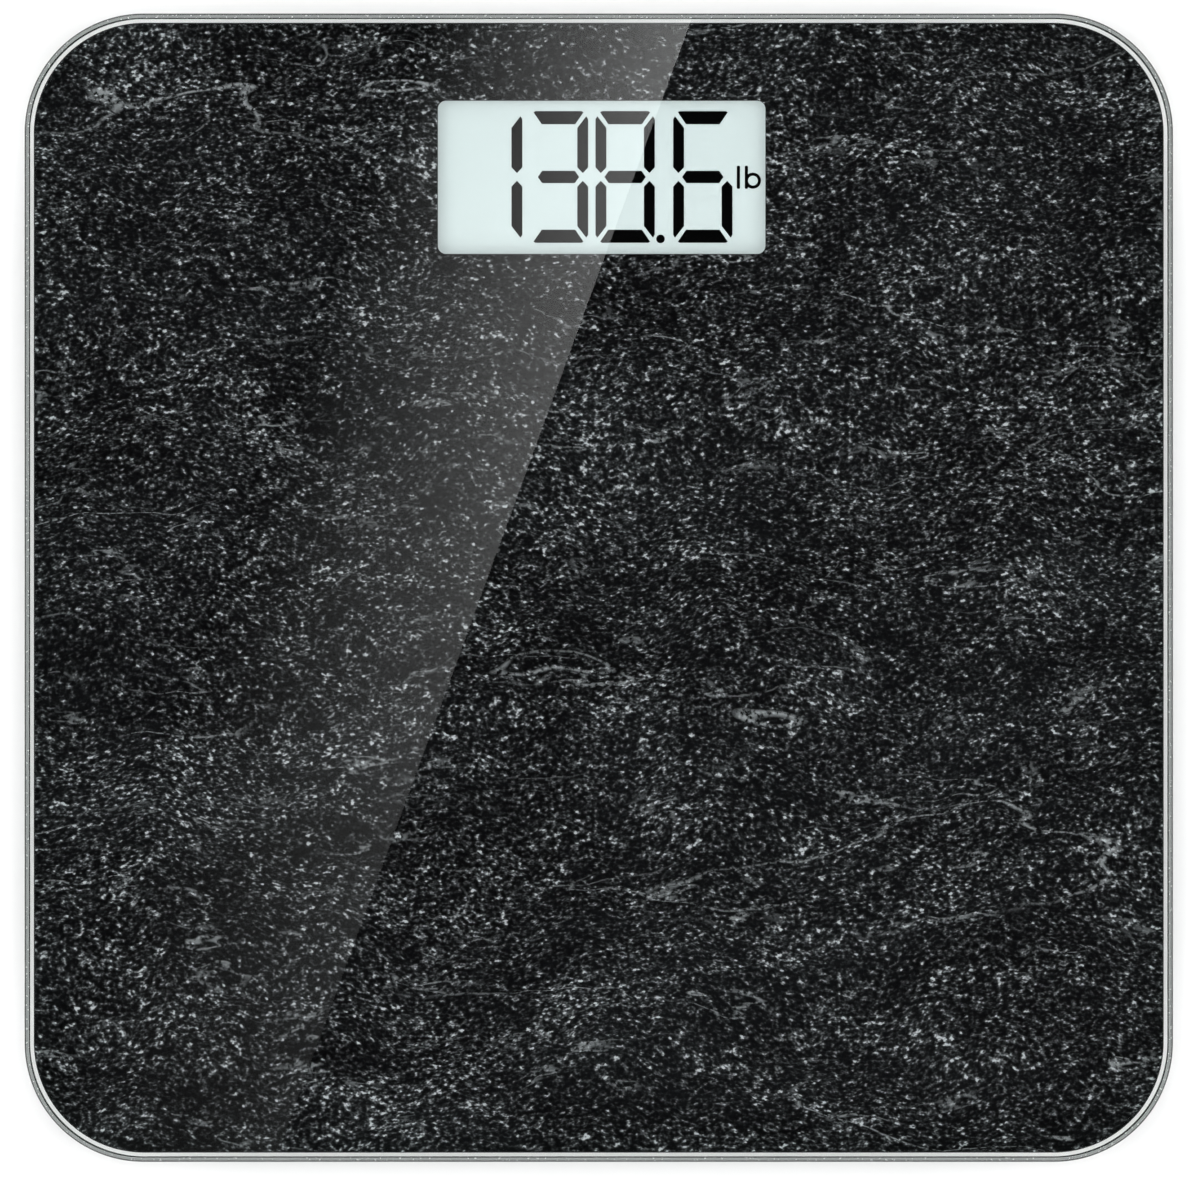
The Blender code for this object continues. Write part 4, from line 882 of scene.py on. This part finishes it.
# %% Load sensors
silicone, tree, shader, where, skin = mottled(
    "cured_white_silicone", "DAD9D3", "EEEDE9", 2.5, 3.0, 0.42, IOR=1.41, Subsurface_Weight=0.1
)
raised = {"Height": skin, "Strength": 0.5, "Distance": 0.15 * MM}
add(tree, "Bump", raised, into=shader.inputs["Normal"])
carrier_plastic = grained_plastic("carrier_black_abs", "121315", "1B1C1E", 0.5)
for corner, at in feet.items():
    low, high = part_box(f"strain_gauge_{corner}")
    pad = slab(5 * MM, 3 * MM, low.z, high.z, 1.6 * MM, 6, at[:2])
    part(f"gauge_potting_{corner}", ease(pad, 0.3 * MM, 4), [silicone],
         stands_for=[f"strain_gauge_{corner}"])
    paint(carrier_plastic, f"sensor_carrier_{corner}")

# %% [markdown]
# **Leads.** Flexible PVC sheath, extruded smooth with a soft gloss and slight waves along its length: grey
# for the sensors, red and black for the cells.

# %% Leads


def pvc(name, dark, light):
    """Extruded PVC: a soft gloss that wavers along the lead."""
    material, tree, shader, where, ripple = mottled(name, dark, light, 4, 3.0, 0.38, gloss=0.08, IOR=1.54)
    raised = {"Height": ripple, "Strength": 0.3, "Distance": 0.05 * MM}
    add(tree, "Bump", raised, into=shader.inputs["Normal"])
    return material


paint(pvc("grey_pvc_sheath", "6A6B6D", "7C7D7F"), *[f"sensor_lead_{corner}" for corner in CORNERS])
paint(pvc("red_pvc_sheath", "8E1512", "A81E19"), "battery_lead_plus")
paint(pvc("black_pvc_sheath", "101011", "1C1C1D"), "battery_lead_minus")
print("leads in grey, red and black")

# %% [markdown]
# **Display stack.** Behind the panel a sheet of clear acrylic spreads the light of two small lamps. Its
# underside is printed with dots that let the light out, 0.6 mm apart here. Light enters from white lamps with
# a yellow face. The rubber strip beside it carries the signals: stripes of black carbon rubber between clear
# ones, 0.1 mm apart on the real strip and drawn at 0.5 mm.

# %% Display stack
acrylic, tree, shader = finish("dotted_guide_acrylic", "F0F3F4", 0.15, IOR=1.49, Transmission_Weight=0.6)
where = add(tree, "TexCoord", out="Object")
dots = add(tree, "TexVoronoi", {"Vector": where, "Scale": per_mm(0.6), "Randomness": 0.0}, "Distance")
frost = {"Value": dots, "From Min": 0.25, "From Max": 0.3, "To Min": 0.7, "To Max": 0.12}
add(tree, "MapRange", frost, into=shader.inputs["Roughness"])
paint(acrylic, "backlight_guide")
phosphor = mottled("white_lamp_resin", "E9DF9F", "F6F2E2", 0.4, 2.0, 0.35, IOR=1.5)[0]
paint(phosphor, "backlight_led_left", "backlight_led_right")
striped, tree, shader = finish("striped_connector_rubber", "3A3A3C", 0.55)
where = add(tree, "TexCoord", out="Object")
WAVES_PER_UNIT = 20  # a wave texture draws this many stripes where a noise draws one patch
stripes = add(tree, "TexWave", {"Vector": where, "Scale": per_mm(0.5) / WAVES_PER_UNIT}, "Fac",
              bands_direction="X")
add(tree, "Mix", {"Factor": stripes, 6: "161617", 7: "7E7E80"}, 2, shader.inputs["Base Color"],
    data_type="RGBA")
paint(striped, "zebra_strip")
low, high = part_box("display_bezel")
outer = slab((high.x - low.x) / 2, (high.y - low.y) / 2, low.z, high.z, 2 * MM, 8, WINDOW_CENTRE)
inner = slab(42.3 * MM, 21.0 * MM, 0, ABOVE + 10 * MM, 0.3 * MM, 2, WINDOW_CENTRE)
bezel = ease(combine(outer, inner, "DIFFERENCE"), 0.2 * MM, 2, 60)
part("display_frame", bezel, [frame_plastic], stands_for=["display_bezel"])

# %% [markdown]
# ** Board.** Glass-fibre board with copper tracks under green solder mask. Copper under the mask shows as a
# lighter green, slightly raised. The tracks here are the joints of a brick pattern, which run square to each
# other as routed tracks do, 1.6 mm apart. Ceramic capacitors stand beside the controller. The board's
# resistors and crystal are not made here.

# %% Board
mask, tree, shader = finish("green_solder_mask", "0E5A2B", 0.3, IOR=1.5)
where = add(tree, "TexCoord", out="Object")
copper = add(tree, "TexBrick", {
    "Vector": where, "Scale": per_mm(1), "Mortar Size": 0.16, "Mortar Smooth": 0.1, "Brick Width": 9.0,
    "Row Height": 1.6, "Color1": "0D4F26", "Color2": "0F5729", "Mortar": "2C8048",
}, "Color", shader.inputs["Base Color"], offset=0.37)
raised = {"Height": copper.node.outputs["Fac"], "Strength": 0.6, "Distance": 0.04 * MM}
add(tree, "Bump", raised, into=shader.inputs["Normal"])
paint(mask, "main_board")

# %% Controller
BOARD_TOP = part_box("main_board")[1].z
SOLDERED = BOARD_TOP + 0.02 * MM
LEG_PITCH = 1.27 * MM
epoxy = grained_plastic("moulded_black_epoxy", "0E0E0F", "1A1A1B", 0.5, 0.2, 0.01)
solder = plated_sheet("tinned_solder", "A9AAAB", "CFD0D1", 0.3, 1.5)
chip_low, chip_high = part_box("controller_chip")
chip_x, chip_y = under("controller_chip")[:2]
chip = ease(slab(5.0 * MM, 2.9 * MM, chip_low.z, chip_high.z, centre=(chip_x, chip_y)), 0.25 * MM, 1)
first_leg = (chip_low.x + MM, chip_y - 1.8 * MM, 0)
dimple = plug(0.5 * MM, chip_high.z - 0.15 * MM, ABOVE, first_leg, 24)
chip = combine(chip, dimple, "DIFFERENCE")
part("controller_body", chip, [epoxy], stands_for=["controller_chip"])
legs = []
for count in range(7):
    x = chip_x + (count - 3) * LEG_PITCH
    for side in (-1, 1):
        y = chip_y + side * 2.9 * MM
        knee = slab(0.2 * MM, 0.3 * MM, SOLDERED, BOARD_TOP + 1.2 * MM, centre=(x, y + side * 0.25 * MM))
        toe = slab(0.2 * MM, 0.45 * MM, SOLDERED, BOARD_TOP + 0.25 * MM, centre=(x, y + side * 0.75 * MM))
        legs.append(combine(knee, toe, "UNION"))
part("controller_legs", gathered(legs), [solder])

# %% Small parts on the board
tan_ceramic = grained_plastic("tan_capacitor_ceramic", "8A6A48", "A5835E", 0.4, 0.3, 0.005)
# Each capacitor: its place in millimetres, and 1 if it lies across the board.
CAPACITORS = (
    (-18, 66, 1), (-18, 69, 1), (-14, 66, 0), (-11, 70, 1), (-22, 72, 1), (9, 64.5, 1), (9, 67.5, 1),
    (12.5, 70, 0), (34, 66, 1), (34, 69, 1), (-42, 72, 0),
)


def small_block(x, y, half, low, high, across):
    """A tiny eased block. Its place and half sizes are in millimetres, and half is swapped unless across."""
    wide, deep = half if across else half[::-1]
    block = slab(wide * MM, deep * MM, low, high, centre=(x * MM, y * MM))
    return ease(block, 0.08 * MM, 1)


bodies, ends = [], []
for x, y, across in CAPACITORS:
    bodies.append(small_block(x, y, (0.7, 0.6), SOLDERED, BOARD_TOP + 0.75 * MM, across))
    for shift in (-0.95, 0.95):
        end_x, end_y = (x + shift, y) if across else (x, y + shift)
        ends.append(
            small_block(end_x, end_y, (0.25, 0.62), BOARD_TOP + 0.01 * MM, BOARD_TOP + 0.78 * MM, across)
        )
part("capacitor_bodies", gathered(bodies), [tan_ceramic])
part("capacitor_ends", gathered(ends), [solder])

# %% [markdown]
# **Screws.** Four small pan-head screws hold the board, 2 mm thick with a cross recess. The head and shank
# are one outline, and the cross is cut with two thin bars.

# %% Screws
for corner, at in bosses.items():
    low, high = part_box(f"board_screw_{corner}")
    bottom, top = low.z / MM, high.z / MM
    outline = [
        (0, top), (0.9, top), (1.6, top - 0.12), (2.1, top - 0.45), (2.3, top - 0.9), (2.3, top - 1.4),
        (1.0, top - 1.4), (1.0, bottom + 1.2), (0.3, bottom), (0, bottom),
    ]
    screw = turned([(r * MM, z * MM) for r, z in outline], at, 40)
    for half in ((1.15 * MM, 0.22 * MM), (0.22 * MM, 1.15 * MM)):
        screw = combine(screw, slab(*half, high.z - 0.7 * MM, high.z + MM, centre=at[:2]), "DIFFERENCE")
    part(f"pan_head_screw_{corner}", screw, [bright_screw],
         stands_for=[f"board_screw_{corner}"])

# %% [markdown]
# **Floor and world.** A white sweep under a world that is white round the horizon and nearly black higher up,
# so that the glass mirrors darkness and the print shows through it.

# %% Floor and world
floor_solid = slab(1.8, 1.8, -0.02, -0.0002)
white_paper = finish("white_paper_sweep", "F2F2F2", 0.9)[0]
floor = lend(floor_solid, "floor")
floor.data.materials.append(white_paper)
floor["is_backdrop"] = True
world = bpy.data.worlds.new("studio")
bpy.context.scene.world = world
world.use_nodes = True
tree = world.node_tree
sky = add(tree, "TexCoord", out="Generated")
height = add(tree, "SeparateXYZ", {"Vector": sky}, "Z")
rising = add(tree, "MapRange", {"Value": height, "From Min": 0.05, "From Max": 0.25})
backdrop = tree.nodes["Background"].inputs["Color"]
add(tree, "Mix", {"Factor": rising, 6: "FFFFFF", 7: "1E1F21"}, 2, backdrop, data_type="RGBA")
print("floor and world made")

# %% [markdown]
# **Lamps.** Wide soft boxes stand all round, and one large lamp hangs overhead. The overhead lamp lights the
# print but doesn't show in the glass.

# %% Lamps


def lamp(name, at, size, watts, seen_in_mirrors=True):
    """A square area lamp that faces the scale."""
    light = bpy.data.lights.new(name, "AREA")
    light.shape = "SQUARE"
    light.size = size
    light.energy = watts
    obj = bpy.data.objects.new(name, light)
    obj.location = at
    obj.rotation_euler = (-Vector(at)).to_track_quat("-Z", "Y").to_euler()
    obj.visible_camera = False
    obj.visible_glossy = seen_in_mirrors
    obj.visible_transmission = seen_in_mirrors
    bpy.context.scene.collection.objects.link(obj)


lamp("overhead", (0, 0, 2.6), 2.6, 60, seen_in_mirrors=False)
for name, x, y in (("left", -1, 0), ("right", 1, 0), ("toe", 0, 1), ("heel", 0, -1)):
    lamp(f"softbox_{name}", (2.2 * x, 2.2 * y, 1.6), 1.4, 30)
print("lamps:", len(bpy.data.lights))

# %% [markdown]
# **Camera.** It looks straight down through a long lens, high enough that the sides of the glass stay hidden.

# %% Camera
VIEW_WIDTH = 292.4 * MM
camera_data = bpy.data.cameras.new("camera")
camera_data.lens = 200
camera_data.sensor_width = 36
camera_data.clip_end = 50
eye = Vector((0.3 * MM, -3.0 * MM, glass_high.z + camera_data.lens * VIEW_WIDTH / camera_data.sensor_width))
camera = bpy.data.objects.new("camera", camera_data)
camera.location = eye
bpy.context.scene.collection.objects.link(camera)
bpy.context.scene.camera = camera
bpy.context.scene.view_settings.view_transform = "Standard"
print("camera", [round(v, 3) for v in eye])

# %% [markdown]
# **The lamp in the mirror.** The glass shows the image of a tall lamp beside the camera, with one sharp side
# and a front that fades. It is a card that only reflections see. Light leaves the glass at the angle it came
# in, so a card at height h over the glass seen from height H covers (1 + h / H) times the part of the glass
# that it shows on. An attribute on the card holds how much each point glows.

# %% The tall lamp that the glass mirrors
CARD_HEIGHT = 2.2
CARD_ACROSS, CARD_ALONG = 32, 12
IMAGE_LENGTH, FADE_WIDTH = 300 * MM, 66 * MM
EDGE_X, EDGE_LEAN = -28.0 * MM, 0.365
spread = 1 + CARD_HEIGHT / (eye.z - glass_high.z)


def on_card(x, y):
    """Where the card must be for its image to lie at (x, y) on the glass."""
    return eye.x + (x - eye.x) * spread, eye.y + (y - eye.y) * spread


bm = bmesh.new()
bmesh.ops.create_grid(bm, x_segments=CARD_ACROSS, y_segments=CARD_ALONG, size=0.5)
glow_layer = bm.verts.layers.float.new("glow")
for vert in bm.verts:
    share, along = vert.co.x + 0.5, vert.co.y + 0.5
    y = (along - 0.5) * IMAGE_LENGTH
    sharp_side = EDGE_X + EDGE_LEAN * y
    vert[glow_layer] = share ** 1.5 * (0.05 + 0.82 * along ** 1.85)
    vert.co = (*on_card(sharp_side - (1 - share) * FADE_WIDTH, y), glass_high.z + CARD_HEIGHT)
card = lend(bm, "tall_lamp")
lamp_front, tree = finish("lamp_front", "000000", 1.0)[:2]
glow = add(tree, "Attribute", out="Fac", attribute_name="glow")
strength = add(tree, "Math", {0: glow, 1: 2.0}, operation="MULTIPLY")
surface = tree.nodes["Material Output"].inputs["Surface"]
add(tree, "Emission", {"Color": (1, 1, 1, 1), "Strength": strength}, into=surface)
card.data.materials.append(lamp_front)
card.visible_camera = False
card.visible_diffuse = False
card.visible_shadow = False
card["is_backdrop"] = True
print("tall lamp:", len(card.data.polygons), "faces")

# %% Boxes and the end
low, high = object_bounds()
print("visual box", [round(1000 * v, 1) for v in high - low], "mm")
